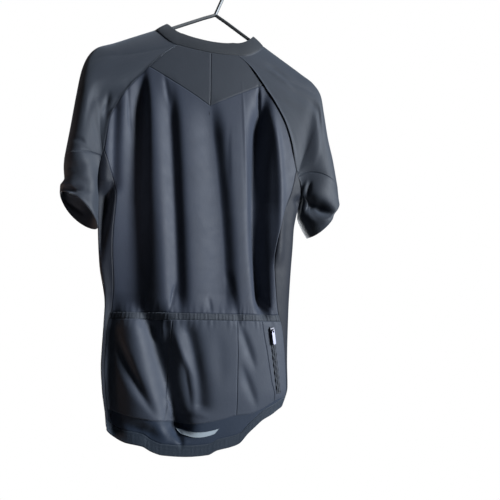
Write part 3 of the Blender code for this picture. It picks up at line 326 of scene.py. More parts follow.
REFLECTIVE_CENTRE = 0.0045
REFLECTIVE_TOP = (0.0330, 0.8195)  # half length, down
REFLECTIVE_FOOT = (0.0260, 0.8270)
REFLECTIVE_SAG = 0.0045

# Wrinkles: a valley, or with a negative depth a ridge, through three places (x from the
# centre line, height down). One across the cloth runs from left to right. A positive
# skew widens its left or its lower wall.
BACK_WRINKLES = table(
    "x down width skew depth",
    # left sleeve and its band
    ((170, 172, 174), (271, 294, 326), 5, 0, 4),
    ((226, 213, 199), (363, 364, 372), 4, 0.2, 2),
    ((232, 210, 186), (388, 379, 382), 5, 0, 1.5),
    ((234, 210, 190), (411, 408, 400), 6, 0, 2.2),
    ((236, 211, 186), (428, 427, 416), 5.5, 0, -1.8),
    ((240, 218, 198), (443, 446, 442), 8, 0.2, 3.8),
    ((240, 209, 188), (453, 459, 480), 5, 0, -2.4),
    ((252, 214, 184), (440, 447, 446), 6, 0, 3),
    ((192, 188, 188), (430, 457, 484), 6, 0, -1.2),
    # right sleeve and its band
    ((-206, -192, -178), (220, 290, 360), 10, 0.2, 1.5),
    ((-215, -208, -198), (262, 330, 368), 8, 0.3, -1.4),
    ((-94, -122, -156), (172, 182, 206), 4, 0, 2),
    ((-100, -130, -166), (186, 197, 224), 5, 0, -1.2),
    ((-158, -206, -252), (426, 438, 450), 12.5, 0, 16.5),
    ((-192, -186, -182), (386, 402, 419), 2.4, 0, -2.2),
    ((-198, -192, -190), (389, 407, 424), 3, 0, 3.2),
    ((-186, -218, -250), (462, 464, 456), 9, 0, -1.6),
    ((-170, -178, -188), (436, 462, 490), 7, 0, 2.4),
    # back
    ((144.5, 138, 130), (236, 280, 360), 3, -0.3, 2.6),
    ((140, 134, 127), (244, 290, 350), 3, 0.3, -1),
    ((-57, -64, -73), (205, 332, 505), 2.4, 0, -1.2),
    ((48, 52, 59), (582, 610, 638), 3.2, -0.2, 2.6),
    ((95, 98, 100), (598, 618, 640), 3.4, 0.2, 2),
    ((-90, -107, -122), (578, 607, 632), 3, 0, 3),
    ((-6, -9, -10), (606, 622, 640), 4, 0.2, 1.4),
    ((-36, -34, -40), (300, 360, 430), 5, 0.3, 0.9),
    ((83, 77, 69), (226, 252, 290), 4, 0, 2.2),
    ((-89.5, -93, -100), (216, 249, 290), 3.2, 0.3, 4.5),
    # pockets
    ((69, 65, 62), (645, 663, 690), 4, 0, -3.4),
    ((142, 108, 64), (664, 746, 806), 8.5, -0.1, 7),
    ((50, 34, 14), (655, 704, 742), 5, 0, -2),
    ((34, 24, 16), (708, 752, 800), 8, 0.2, 4.8),
    ((-56, -74, -92), (645, 688, 735), 7.5, 0.2, 3),
    ((-62, -78, -96), (715, 752, 796), 7.5, 0.2, 2.8),
    ((60, 50, 44), (768, 790, 808), 4.5, 0, -3),
    ((-10, 14, 40), (806, 800, 796), 5, 0, 1.2),
    ((-20, -26, -30), (660, 700, 760), 12, 0, 1.2),
    # tail
    ((125, 90, 52), (806, 822, 832), 12, 0, 7.5),
    ((44, 36, 30), (812, 826, 850), 5, 0, 4),
)
FRONT_WRINKLES = table(
    "x down width skew depth",
    ((205, 216, 226), (250, 310, 380), 6, 0, 3),
    ((235, 215, 192), (430, 437, 432), 6.5, 0.2, 6),
    ((240, 212, 190), (448, 462, 480), 4.5, 0, -3),
    ((-205, -196, -186), (245, 310, 372), 6, 0, 3.2),
    ((-184, -212, -244), (425, 434, 436), 6.5, 0.2, 7),
    ((-188, -214, -240), (452, 458, 450), 6, 0, -3),
    ((150, 128, 100), (300, 322, 352), 5.5, 0.2, 3),
    ((-98, -124, -146), (344, 318, 302), 5.5, 0, 2.8),
    ((30, 36, 34), (232, 262, 300), 5, 0, 1.8),
    ((-26, -34, -31), (236, 270, 316), 5.5, 0, 1.6),
    ((140, 110, 78), (470, 486, 520), 6, 0.1, 2.6),
    ((-70, -104, -140), (512, 480, 466), 6, 0.1, 3),
    ((86, 80, 84), (640, 700, 770), 7, 0.2, 3),
    ((-72, -80, -76), (620, 690, 768), 7, -0.2, 3),
    ((10, 12, 10), (520, 600, 700), 5, 0, 1),
    ((-12, -14, -11), (380, 440, 520), 4.5, 0, 1),
)
WRINKLE_FADE = 0.42  # share of its length over which a wrinkle starts and ends
WRINKLE_TIP = 0.6  # share of its width at its ends
SIDE_CLEAR = 0.006  # no wrinkles nearer than this to the garment's sides
SIDE_FADE = 0.015

# ---------------------------------------------------------------- curves


def smooth(rows, column, where):
    """A table's column at any place along its first column, on a smooth curve."""
    places = np.array([row[0] for row in rows], float)
    values = np.array([getattr(row, column) for row in rows], float)
    where = np.clip(np.asarray(where, float), places[0], places[-1])
    chord = np.diff(values) / np.diff(places)
    before, after = chord[:-1], chord[1:]
    steady = before * after > 0
    slope = np.zeros(len(places))
    slope[0], slope[-1] = chord[0], chord[-1]
    slope[1:-1][steady] = 2 * before[steady] * after[steady] / (before[steady] + after[steady])
    i = np.clip(np.searchsorted(places, where, side="right") - 1, 0, len(places) - 2)
    h = places[i + 1] - places[i]
    t = (where - places[i]) / h
    start = (1 + 2 * t) * (1 - t) ** 2 * values[i] + t * (1 - t) ** 2 * h * slope[i]
    end = t * t * (3 - 2 * t) * values[i + 1] - t * t * (1 - t) * h * slope[i + 1]
    return start + end


def ease(t):
    """0 to 1 with level ends."""
    t = np.clip(t, 0.0, 1.0)
    return t * t * (3 - 2 * t)


def mix(first, second, share):
    """From the first (share 0) to the second (share 1)."""
    return first + (second - first) * share


def paired(first, second):
    """Two numbers or arrays as arrays of one shape."""
    return np.broadcast_arrays(np.asarray(first, float), np.asarray(second, float))


def unit(vectors):
    """Vectors of the same directions, 1 long."""
    return vectors / np.maximum(np.linalg.norm(vectors, axis=-1, keepdims=True), 1e-12)


def word(side):
    """A side's name: 1 is the wearer's left and -1 the right."""
    return "left" if side > 0 else "right"


def through(values, t):
    """A smooth curve through three values, at 0, a half and 1."""
    first, middle, last = values
    return (2 * t - 1) * (t - 1) * first + 4 * t * (1 - t) * middle + t * (2 * t - 1) * last


def fold_depth(folds, x, down):
    """How far the folds draw the cloth in at x from the centre line."""
    total = np.zeros(np.broadcast(x, down).shape)
    for fold in folds:
        t = np.clip((down - fold.start) / (fold.end - fold.start), 0, 1)
        left, right = (np.interp(t, (0, 0.5, 1), reach) for reach in (fold.left, fold.right))
        offset = x - through(fold.x, t)
        strength = ease(t / FADE_IN) * ease((1 - t) / FADE_OUT)
        reach = np.where(offset > 0, left, right)
        total = total + fold.depth * strength * np.exp(-((offset / reach) ** 2))
    return total


def wrinkle_depth(wrinkles, x, down):
    """How far the wrinkles draw the cloth in."""
    total = np.zeros(np.broadcast(x, down).shape)
    for wrinkle in wrinkles:
        run_x, run_down = wrinkle.x[2] - wrinkle.x[0], wrinkle.down[2] - wrinkle.down[0]
        length = math.hypot(run_x, run_down)
        t = ((x - wrinkle.x[0]) * run_x + (down - wrinkle.down[0]) * run_down) / length**2
        t = np.clip(t, 0, 1)
        off_x, off_down = x - through(wrinkle.x, t), down - through(wrinkle.down, t)
        offset = (off_x * run_down - off_down * run_x) / length
        strength = ease(t / WRINKLE_FADE) * ease((1 - t) / WRINKLE_FADE)
        taper = WRINKLE_TIP + (1 - WRINKLE_TIP) * strength
        reach = wrinkle.width * (1 + wrinkle.skew * np.sign(offset)) * taper
        total = total + wrinkle.depth * strength * np.exp(-((offset / reach) ** 2))
    return total


def creased(points, normal):
    """A sheet of cloth with its wrinkles."""
    x, down, y = points[..., 0] - CENTRE, -points[..., 2], points[..., 1]
    behind, ahead = (wrinkle_depth(wrinkles, x, down) for wrinkles in (BACK_WRINKLES, FRONT_WRINKLES))
    depth = np.where(y > 0, behind, ahead) * ease((np.abs(y) - SIDE_CLEAR) / SIDE_FADE)
    return points - normal * depth[..., None]


# ---------------------------------------------------------------- surfaces


def half_width(down, side):
    return np.where(side > 0, smooth(SECTIONS, "left", down), smooth(SECTIONS, "right", down))


def depth_of(rows, face, place):
    """The rows' depth, behind where face is above 0 and in front where it isn't."""
    return np.where(face > 0, smooth(rows, "back", place), smooth(rows, "front", place))


def body(angle, down):
    """The body's outer face: angle 0 at the back's middle, a right angle at its left."""
    angle, down = paired(angle, down)
    across, facing = np.sin(angle), np.cos(angle)
    x = half_width(down, across) * across
    behind = facing > 0
    y = depth_of(SECTIONS, facing, down) * np.abs(facing) ** SIDE_BLUNT
    drawn = np.where(behind, fold_depth(BACK_FOLDS, x, down), fold_depth(FRONT_FOLDS, x, down))
    y = y - drawn * ease(np.abs(facing) / SIDE_FADE_IN)
    return np.stack([CENTRE + x, np.where(behind, y, -y), -down], axis=-1)


def back_angle(x, down):
    """The body's angle at x from the centre line, on the back."""
    return np.arcsin(np.clip(x / half_width(down, x), -1, 1))


def front_angle(x, down):
    """The same on the front, from a right angle to a half turn on its left."""
    angle = back_angle(x, down)
    return np.where(x >= 0, np.pi - angle, -np.pi - angle)


def face_angle(face, x, down):
    """The body's angle at x: on the back where face is above 0, else on the front."""
    return np.where(face > 0, back_angle(x, down), front_angle(x, down))


def raglan_down(step, face):
    """Height along the raglan seam, from its foot (BAND_STEP) to the neck (NECK_STEP)."""
    down = np.interp(step, (BAND_STEP, YOKE_STEP, NECK_STEP), (SIDE_JOIN, YOKE_JOIN, BACK_NECK))
    share = (SIDE_JOIN - down) / (SIDE_JOIN - BACK_NECK)
    return np.where(face > 0, down, mix(SIDE_JOIN, FRONT_NECK, share))


def seam_x(down, side):
    """The raglan seam and the armhole's foot, from the centre line, at a height behind."""
    return side * smooth(RAGLAN, word(side), down)


def raglan(side, face, step):
    """The raglan seam as (angle, down) on the body."""
    down = raglan_down(step, face)
    return face_angle(face, seam_x(raglan_down(step, 1), side), down), down


def armhole_foot(side, face, step):
    """Under the raglan seam: step 0 at the underarm and BAND_STEP where the band's seam starts."""
    down = mix(UNDERARM, BAND_CORNER, np.asarray(step, float) / BAND_STEP)
    x = seam_x(down, side)
    angle = np.where(down >= UNDERARM, side * np.pi / 2, face_angle(face, x, down))
    return angle, down


def rows_of(side):
    return LEFT_ROWS if side > 0 else RIGHT_ROWS


def shoulder_point(side):
    """Where the neck meets the shoulder line."""
    row = rows_of(side)[0]
    return np.array([side * row.outer_x, 0.0, -row.outer_down])


def sleeve_head(side, face, step):
    """A sleeve's first row: up the raglan seam, then along the neck to the shoulder line."""
    seam = body(*raglan(side, face, np.minimum(step, NECK_STEP)))
    turn = np.clip((step - NECK_STEP) / (LOOP_STEPS - NECK_STEP), 0, 1) * np.pi / 2
    top = shoulder_point(side)
    x = mix(seam[..., 0], top[0], np.sin(turn))
    y = seam[..., 1] * np.cos(turn)
    z = mix(seam[..., 2], top[2], ease(turn / (np.pi / 2)))
    return np.stack([x, y, z], axis=-1)


def bowed(side, start, end, share, bow):
    """Where a line from start to end (x, z) is at a share of it, bowed towards the neck."""
    run_x, run_z = end[0] - start[0], end[1] - start[1]
    length = np.hypot(run_x, run_z)
    x = start[0] + run_x * share - side * bow * run_z / length
    return x, start[1] + run_z * share + side * bow * run_x / length


def line_end(rows, side, end, place):
    """Where the rows' named end is, as (x, z)."""
    return side * smooth(rows, f"{end}_x", place), -smooth(rows, f"{end}_down", place)


def upper_sleeve(side, face, step, place):
    """A sleeve between its raglan seam (place 0) and its band's seam (8)."""
    rows = rows_of(side)
    head = sleeve_head(side, face, step)
    joined = body(*raglan(side, face, np.full_like(step, BAND_STEP)))
    corner = body(*armhole_foot(side, face, np.full_like(step, BAND_STEP)))
    top = shoulder_point(side)
    head_share = (head[..., 2] - joined[..., 2]) / (top[2] - joined[..., 2])
    around = (step - BAND_STEP) / (LOOP_STEPS - BAND_STEP)
    kept = ease(1 - place / RAGLAN_SHAPE_ENDS)
    share = mix(np.sin(around * np.pi / 2), head_share, kept)
    start = mix(joined, corner, (place / BAND_PLACE)[..., None])
    bow = smooth(rows, "bow", place) * np.sin(np.pi * np.clip(share, 0, 1) ** BOW_SKEW)
    x, z = bowed(side, (start[..., 0], start[..., 2]), line_end(rows, side, "outer", place), share, bow)
    x = x + kept * (head[..., 0] - mix(joined[..., 0], top[0], head_share))
    depth = depth_of(rows, face, place)
    outward = np.clip((share - ROUNDING_STARTS) / (1 - ROUNDING_STARTS), 0, 1)
    begin = np.abs(start[..., 1])
    bulge = begin + (depth - begin) * ease(share / ROUNDING_STARTS)
    y = mix(bulge * np.sqrt(1 - outward**2), np.abs(head[..., 1]), kept)
    return np.stack([x, y, z], axis=-1)


def sleeve(side, turn, place):
    """A sleeve's outer face: turn 0 at the underarm, 1 at the shoulder line, 2 at the underarm."""
    turn, place = paired(turn, place)
    turn = np.mod(turn, 2)
    face = np.where(turn <= 1, 1, -1)
    step = LOOP_STEPS * (1 - np.abs(turn - 1))
    upper = upper_sleeve(side, face, np.maximum(step, BAND_STEP), np.minimum(place, BAND_PLACE))
    seam = armhole_foot(side, face, np.minimum(step, BAND_STEP))
    foot = body(*seam) + normals(body, *seam, 1) * FOOT_GAP
    foot[..., 1] = np.abs(foot[..., 1])
    loop = np.where((step < BAND_STEP)[..., None], foot, upper)
    rings = LEFT_RINGS if side > 0 else RIGHT_RINGS
    around = np.pi * step / LOOP_STEPS
    risen = ease((place - CUFF_RISE_STARTS) / (CUFF_PLACE - CUFF_RISE_STARTS)) * ((face > 0) & (side > 0))
    bow = (smooth(rings, "bow", place) + LEFT_CUFF_RISE * risen) * np.sin(around) ** RING_BOW
    inner, outer = (line_end(rings, side, end, place) for end in ("inner", "outer"))
    x, z = bowed(side, inner, outer, (1 - np.cos(around)) / 2, bow)
    ring = np.stack([x, depth_of(rings, face, place) * np.sin(around) ** RING_BLUNT, z], axis=-1)
    point = mix(loop, ring, ease((place - BAND_PLACE) / BAND_BLEND)[..., None])
    y = point[..., 1]
    for crease in LEFT_CREASES if side > 0 else RIGHT_CREASES:
        along = (place - crease.place) / crease.length
        aside = (turn - crease.turn - crease.lean * along) / crease.spread
        y = y - crease.depth * np.exp(-(along**2) - aside**2) * (y > CREASE_CLEAR)
    return np.stack([point[..., 0], face * y, point[..., 2]], axis=-1)


def neck_seam(side, place):
    """The neck seam: place 0 at the back's middle, 0.5 at the shoulder line, 1 at the front's."""
    place = np.asarray(place, float)
    behind = place <= 0.5
    p = np.where(behind, place, 1 - place)
    face = np.where(behind, 1, -1)
    share = np.clip(p / NECK_CORNER, 0, 1)
    x = seam_x(np.full_like(p, BACK_NECK), side) * share
    front_x = np.where(x == 0, side * NEAR_MIDDLE, x)
    down_back = BACK_NECK + BACK_NECK_DIP * (1 - share**2)
    down_front = FRONT_NECK + FRONT_NECK_DIP * (1 - share**2)
    on_back = body(back_angle(x, down_back), down_back)
    on_front = body(front_angle(front_x, down_front), down_front)
    seam = np.where(behind[..., None], on_back, on_front)
    step = NECK_STEP + (LOOP_STEPS - NECK_STEP) * np.clip((p - NECK_CORNER) / (0.5 - NECK_CORNER), 0, 1)
    return np.where((p < NECK_CORNER)[..., None], seam, sleeve_head(side, face, step))


def collar(side, place, height):
    """The collar's outer face: height 0 at the neck seam and 1 at the top edge."""
    place, height = paired(place, height)
    foot = neck_seam(side, place)
    inward, back_shift, rise = (smooth(COLLAR, name, place) for name in ("inward", "back_shift", "rise"))
    lift = np.stack([-side * inward, back_shift, rise], axis=-1)
    bulge = COLLAR_BULGE * np.sin(np.pi * height)
    out = np.stack([side * np.sin(np.pi * place), np.cos(np.pi * place), 0 * place], axis=-1)
    return foot + lift * height[..., None] + out * bulge[..., None]


def normals(surface, u, v, flip):
    """Unit normals of a surface at (u, v), pointing out of the garment."""
    du, dv = 0.002, 0.0005
    along_u = surface(u + du, v) - surface(u - du, v)
    along_v = surface(u, v + dv) - surface(u, v - dv)
    return unit(np.cross(along_u, along_v) * flip)


# ---------------------------------------------------------------- grids

BACK_HALF = 80  # columns on each side of the back panel's middle
POCKET_COLUMNS = (16, 32, 56, 56)  # zip pocket, right, centre and left
ROW_STEP = 1 / 12  # rows along the raglan seam, in steps of a sleeve's half loop
BACK_ROWS = 126
ELASTIC_ROWS = 6
POCKET_ROWS = 80
TAIL_ROWS = 24
SIDE_ROWS = BACK_ROWS + ELASTIC_ROWS + POCKET_ROWS + TAIL_ROWS
FRONT_COLUMNS = 52
POCKET_LEVEL = 0.800  # about where the pockets end, for the columns' spread
TAIL_LEVEL = 0.840
FRONT_LEVEL = 0.755
HEM_REACH = 0.600  # below this the front's rows bend towards the hem's line
SAG_ROWS = 8 / 19  # share of a side panel's rows over which the armhole's dip fades
COLUMNS_TURN = 0.450  # height where the back's columns start to turn to the pockets' borders


def seam_steps(first, last):
    """Steps along the raglan seam, from first to last with both ends."""
    count = round(abs(last - first) / ROW_STEP)
    return np.linspace(first, last, count + 1)


def columns(down, left, right):
    """Where the back's columns are at each height, from the right seam to the left one."""
    half = np.arange(-BACK_HALF, BACK_HALF + 1) / BACK_HALF
    even = np.where(half[None, :] > 0, left[:, None] * half, right[:, None] * -half)
    names = ("zip_edge", "right_divider", "left_divider")
    edges = [right, *(smooth(BORDERS, name, down) for name in names), left]
    spans = []
    for count, start, end in zip(POCKET_COLUMNS, edges, edges[1:]):
        spans.append(mix(start[:, None], end[:, None], np.arange(count)[None, :] / count))
    spans.append(edges[-1][:, None])
    bordered = np.concatenate(spans, axis=1)
    return mix(even, bordered, ease((down - COLUMNS_TURN) / (POCKET_TOP - COLUMNS_TURN))[:, None])


def hem_top(angle):
    """Height of the hem band's upper edge."""
    degrees = np.degrees((angle + np.pi) % (2 * np.pi) - np.pi)
    return smooth(HEM, "down", degrees) - HEM_HEIGHT


def yoke_dip(share):
    """How far the yoke's V seam hangs below its ends, at a share of the way out."""
    return (YOKE_POINT - YOKE_JOIN) * (1 - np.abs(share)) ** YOKE_CURVE


def back_grid():
    """The main back: raglan and side seams at its sides, the V at its top."""
    upper = raglan_down(seam_steps(YOKE_STEP, BAND_STEP)[:-1], 1)
    lower = np.linspace(SIDE_JOIN, POCKET_TOP, BACK_ROWS + 1)
    edge = np.concatenate([upper, lower])
    left = np.concatenate([seam_x(upper, 1), smooth(SIDE_SEAM, "left", lower)])
    right = np.concatenate([seam_x(upper, -1), -smooth(SIDE_SEAM, "right", lower)])
    x = columns(edge, left, right)
    share = np.where(x > 0, x / left[:, None], x / right[:, None])
    down = edge[:, None] + yoke_dip(share) * ease((SIDE_JOIN - edge) / (SIDE_JOIN - YOKE_JOIN))[:, None]
    return back_angle(x, down), down


def back_lower_grid():
    """The back behind the pockets and the tail. Rows: the elastic, the pockets, the tail."""
    elastic_foot = POCKET_TOP + ELASTIC_HEIGHT
    levels = np.concatenate(
        [
            np.linspace(POCKET_TOP, elastic_foot, ELASTIC_ROWS + 1),
            np.linspace(elastic_foot, POCKET_LEVEL, POCKET_ROWS + 1)[1:],
            np.linspace(POCKET_LEVEL, TAIL_LEVEL, TAIL_ROWS + 1)[1:],
        ]
    )
    x = columns(levels, smooth(SIDE_SEAM, "left", levels), -smooth(SIDE_SEAM, "right", levels))
    angle = back_angle(x, levels[:, None])
    foot = smooth(POCKET_FOOT, "down", x[ELASTIC_ROWS + POCKET_ROWS])
    end = hem_top(angle[-1])
    rows = [np.full_like(foot, level) for level in levels[: ELASTIC_ROWS + 1]]
    rows += [mix(elastic_foot, foot, row / POCKET_ROWS) for row in range(1, POCKET_ROWS + 1)]
    rows += [mix(foot, end, row / TAIL_ROWS) for row in range(1, TAIL_ROWS + 1)]
    return angle, np.array(rows)


def yoke_grid(side):
    """Half of the V-shaped yoke, from its centre seam to the raglan seam."""
    edge = raglan_down(seam_steps(YOKE_STEP, NECK_STEP), 1)[:, None]
    share = np.linspace(0, 1, BACK_HALF + 1)[None, :]
    x = seam_x(edge, side) * share
    rise = (YOKE_JOIN - edge) / (YOKE_JOIN - BACK_NECK)
    down = edge + mix(yoke_dip(share), BACK_NECK_DIP * (1 - share**2), rise)
    return back_angle(x, down), down


def front_grid(side):
    """One front, from the raglan and side seams to the zip."""
    steps = seam_steps(NECK_STEP, BAND_STEP)[:-1]
    upper = raglan_down(steps, -1)
    lower = np.linspace(SIDE_JOIN, FRONT_LEVEL, SIDE_ROWS + 1)
    edge = np.concatenate([upper, lower])
    behind = np.concatenate([raglan_down(steps, 1), lower])
    seam = np.where(edge < SIDE_JOIN, seam_x(behind, side), side * smooth(SIDE_SEAM, word(side), behind))
    share = np.linspace(0, 1, FRONT_COLUMNS + 1)[None, :]
    x = mix(seam[:, None], side * TAPE_HALF, share)
    dip = (1 - (x / seam[:, None]) ** 2) * FRONT_NECK_DIP
    down = edge[:, None] + dip * ease((SIDE_JOIN - edge) / (SIDE_JOIN - FRONT_NECK))[:, None]
    angle = front_angle(x, edge[:, None])
    end = hem_top(angle[-1])
    reach = ease((edge - HEM_REACH) / (edge[-1] - HEM_REACH))[:, None]
    return angle, down + (end - edge[-1])[None, :] * reach


def side_grid(side, back, lower, front):
    """A side panel: round the side from seam to seam, up to the armhole's foot."""
    column = -1 if side > 0 else 0
    rows = SIDE_ROWS + 1
    angle_b, down_b = (np.concatenate([b[:, column], p[1:, column]])[-rows:] for b, p in zip(back, lower))
    angle_f, down_f = (f[-rows:, 0] for f in front)
    foot_b = armhole_foot(side, 1, seam_steps(BAND_STEP, 0))
    foot_f = armhole_foot(side, -1, seam_steps(0, BAND_STEP))
    corner = np.linspace(0, 1, round(1 / ROW_STEP) + 1)
    top = [
        np.concatenate([mix(b[0], fb[0], corner[:-1]), fb, ff[1:], mix(ff[-1], f[0], corner[1:])])
        for b, f, fb, ff in zip((angle_b, down_b), (angle_f, down_f), foot_b, foot_f)
    ]
    share = np.linspace(-1, 1, len(top[0]))
    edge = np.where(share < 0, angle_b[1:, None], angle_f[1:, None])
    angles = mix(side * np.pi / 2, edge, np.abs(share))
    fade = ease(1 - np.arange(1, rows)[:, None] / (SAG_ROWS * rows))
    downs = mix(down_b[1:, None], down_f[1:, None], (share + 1) / 2) + (top[1] - SIDE_JOIN) * fade
    downs[-1] = hem_top(angles[-1])
    return np.vstack([top[0], angles]), np.vstack([top[1], downs])


def front_strip(share, level):
    """The front zip's outer face: share -1 to 1 across, level 0 at the hem, 1 at the neck, 2 on top."""
    share, level = paired(share, level)
    foot = smooth(HEM, "down", 180.0)
    neck_down = FRONT_NECK + FRONT_NECK_DIP * (1 - (TAPE_HALF / FRONT_NECK_HALF) ** 2)
    down = foot + (neck_down - foot) * np.clip(level, 0, 1)
    x = share * TAPE_HALF
    angle = np.pi - np.arcsin(x / half_width(down, x))
    outside = body(angle, down)
    rise = np.clip(level - 1, 0, 1)
    lift = np.array([0.0, COLLAR[-1].back_shift, COLLAR[-1].rise])
    bulge = np.array([0.0, -COLLAR_BULGE, 0.0])
    return outside + lift * rise[..., None] + bulge * np.sin(np.pi * rise)[..., None]


# ---------------------------------------------------------------- materials


def put(tree, made, inputs):
    """Set a node's numbers and make its links."""
    for key, value in inputs.items():
        if isinstance(value, bpy.types.NodeSocket):
            tree.links.new(value, made.inputs[key])
        else:
            made.inputs[key].default_value = value


def node(tree, kind, inputs=None, **settings):
    made = tree.nodes.new(kind)
    for key, value in settings.items():
        setattr(made, key, value)
    put(tree, made, inputs or {})
    return made


def new_material(name):
    made = bpy.data.materials.new(name)
    made.use_nodes = True
    return made, made.node_tree, made.node_tree.nodes["Principled BSDF"]


def cloth_place(tree):
    return node(tree, "ShaderNodeUVMap", uv_map="cloth").outputs[0]


def object_place(tree):
    return node(tree, "ShaderNodeTexCoord").outputs["Object"]


def scaled(tree, vector, x, y, z=1.0):
    return node(tree, "ShaderNodeMapping", {"Vector": vector, "Scale": (x, y, z)}).outputs[0]


def noise(tree, vector, scale, detail=3.0):
    inputs = {"Vector": vector, "Scale": scale, "Detail": detail, "Roughness": 0.55}
    return node(tree, "ShaderNodeTexNoise", inputs).outputs[0]


def wave(tree, vector, period, direction):
    """A sine across the cloth with its period in metres."""
    inputs = {"Vector": vector, "Scale": 2 * math.pi / 20 / period}
    return node(tree, "ShaderNodeTexWave", inputs, bands_direction=direction).outputs[1]


def math_node(tree, operation, *values):
    return node(tree, "ShaderNodeMath", dict(enumerate(values)), operation=operation).outputs[0]


def mix_colour(tree, share, first, second):
    inputs = {0: share, 6: (*first, 1), 7: (*second, 1)}
    return node(tree, "ShaderNodeMix", inputs, data_type="RGBA").outputs[2]


def toned(tree, share, colour, darkest):
    """The colour, and where the share is 0 that part of its lightness."""
    return mix_colour(tree, share, [darkest * c for c in colour], colour)


def bump(tree, height, distance, strength, before=None):
    inputs = {"Height": height, "Distance": distance, "Strength": strength}
    if before is not None:
        inputs["Normal"] = before
    return node(tree, "ShaderNodeBump", inputs).outputs[0]


def cloth_material(
    name, dark, light, roughness=0.6, sheen=0.25, wale=0.0009, course=0.0011, relief=0.00012, slub=0.0004
):
    """Knitted polyester: fine loops, faint streaks along the wales and soft patches."""
    made, tree, shader = new_material(name)
    uv = cloth_place(tree)
    patches = noise(tree, uv, scale=22.0, detail=4.0)
    streaks = noise(tree, scaled(tree, uv, 900.0, 40.0), scale=1.0, detail=2.0)
    share = math_node(tree, "ADD", math_node(tree, "MULTIPLY_ADD", streaks, 0.5, -0.25), patches)
    loops = math_node(tree, "MULTIPLY", wave(tree, uv, wale, "X"), wave(tree, uv, course, "Y"))
    slubs = bump(tree, noise(tree, uv, scale=260.0, detail=2.0), slub, strength=0.35)
    grain = math_node(tree, "MULTIPLY_ADD", noise(tree, uv, scale=60.0), 0.16, roughness - 0.08)
    put(tree, shader, {
        "Base Color": mix_colour(tree, share, dark, light),
        "Normal": bump(tree, loops, relief, strength=0.5, before=slubs),
        "Roughness": grain,
        "Sheen Weight": sheen,
        "Sheen Roughness": 0.45,
        "Sheen Tint": (0.75, 0.85, 1.0, 1),
        "Specular IOR Level": 0.35,
    })
    return made


def metal_material(name, colour, roughness, scratch_scale):
    """Satin metal with fine marks."""
    made, tree, shader = new_material(name)
    marks = noise(tree, scaled(tree, object_place(tree), 1.0, 1.0, 0.15), scratch_scale, detail=4.0)
    put(tree, shader, {
        "Base Color": toned(tree, marks, colour, darkest=0.8),
        "Roughness": math_node(tree, "MULTIPLY_ADD", marks, 0.25, roughness - 0.1),
        "Normal": bump(tree, marks, distance=0.00005, strength=0.4),
        "Metallic": 0.9,
    })
    return made


def coating_material(name, colour):
    """Powder coating with its fine orange-peel."""
    made, tree, shader = new_material(name)
    place = object_place(tree)
    peel = noise(tree, place, scale=900.0, detail=2.0)
    put(tree, shader, {
        "Base Color": toned(tree, noise(tree, place, scale=30.0), colour, darkest=0.85),
        "Normal": bump(tree, peel, distance=0.0001, strength=0.3),
        "Roughness": 0.38,
        "Metallic": 0.35,
    })
    return made


def film_material(name, colour):
    """Retroreflective film: fine glass beads in a silver ground, lightly cracked by washing."""
    made, tree, shader = new_material(name)
    uv = cloth_place(tree)
    beads = node(tree, "ShaderNodeTexVoronoi", {"Vector": uv, "Scale": 1800.0}).outputs[0]
    wear = noise(tree, uv, scale=240.0, detail=5.0)
    cracked = bump(tree, wear, distance=0.0002, strength=0.3)
    put(tree, shader, {
        "Base Color": toned(tree, wear, colour, darkest=0.72),
        "Normal": bump(tree, beads, distance=0.00006, strength=0.4, before=cracked),
        "Roughness": 0.32,
        "Metallic": 0.25,
    })
    return made


MATERIALS = {
    "knit": cloth_material("body knit", (0.0250, 0.0315, 0.0500), (0.0355, 0.0445, 0.0700)),
    "sleeve_knit": cloth_material("sleeve knit", (0.0255, 0.0315, 0.0440), (0.0370, 0.0450, 0.0610)),
    # yoke knit: the body's knit made darker, as painted shade for the yoke where it tilts up away from the key lamp
    "yoke_knit": cloth_material("yoke knit", (0.0205, 0.0250, 0.0345), (0.0295, 0.0355, 0.0480)),
    # collar knit: the body's knit made darker, as painted shade on the collar
    "collar_knit": cloth_material("collar knit", (0.0190, 0.0220, 0.0280), (0.0290, 0.0330, 0.0400)),
    # pocket knit: the body's knit made lighter, as painted light on the pockets
    "pocket_knit": cloth_material("pocket knit painted light", (0.0340, 0.0420, 0.0610), (0.0470, 0.0570, 0.0820)),
    # the side panels' coarser mesh knit, made far darker than the body's as painted shade on the sides that the key
    # lamp lights
    "mesh_knit": cloth_material(
        "side mesh knit painted shade", (0.0044, 0.0067, 0.0140), (0.0073, 0.0107, 0.0210), wale=0.0016, course=0.0018, relief=0.0003
    ),
    # tail knit: its own bluer knit, made darker as painted shade under the pockets' edge
    "tail_knit": cloth_material("tail knit", (0.0110, 0.0195, 0.0370), (0.0180, 0.0300, 0.0560)),
    "rib": cloth_material("hem rib", (0.0125, 0.0205, 0.0340), (0.0190, 0.0300, 0.0480), wale=0.0013, relief=0.0004),
    "elastic": cloth_material(
        "pocket elastic", (0.0260, 0.0320, 0.0450), (0.0370, 0.0450, 0.0600), wale=0.0013, relief=0.0004
    ),
    "zip_tape": cloth_material("zip tape", (0.026, 0.031, 0.042), (0.042, 0.048, 0.062), wale=0.0007, relief=0.0002),
    "thread": cloth_material("thread", (0.034, 0.039, 0.050), (0.050, 0.057, 0.072), sheen=0.1, slub=0.0001),
    "hanger_coating": coating_material("hanger coating", (0.080, 0.086, 0.092)),
    "reflective_film": film_material("reflective film", (0.55, 0.63, 0.70)),
    "slider_metal": metal_material("slider metal", (0.14, 0.14, 0.16), 0.42, 900.0),
    "pull_metal": metal_material("pull metal", (0.30, 0.30, 0.38), 0.50, 700.0),
}
# Slots of the record that go by another name here
HARD_PARTS = {
    "hanger": "hanger_coating",
    "zip_pocket_slider": "slider_metal",
    "front_zip_slider": "slider_metal",
    "zip_pocket_pull": "pull_metal",
    "front_zip_pull": "pull_metal",
}


# ---------------------------------------------------------------- cloth

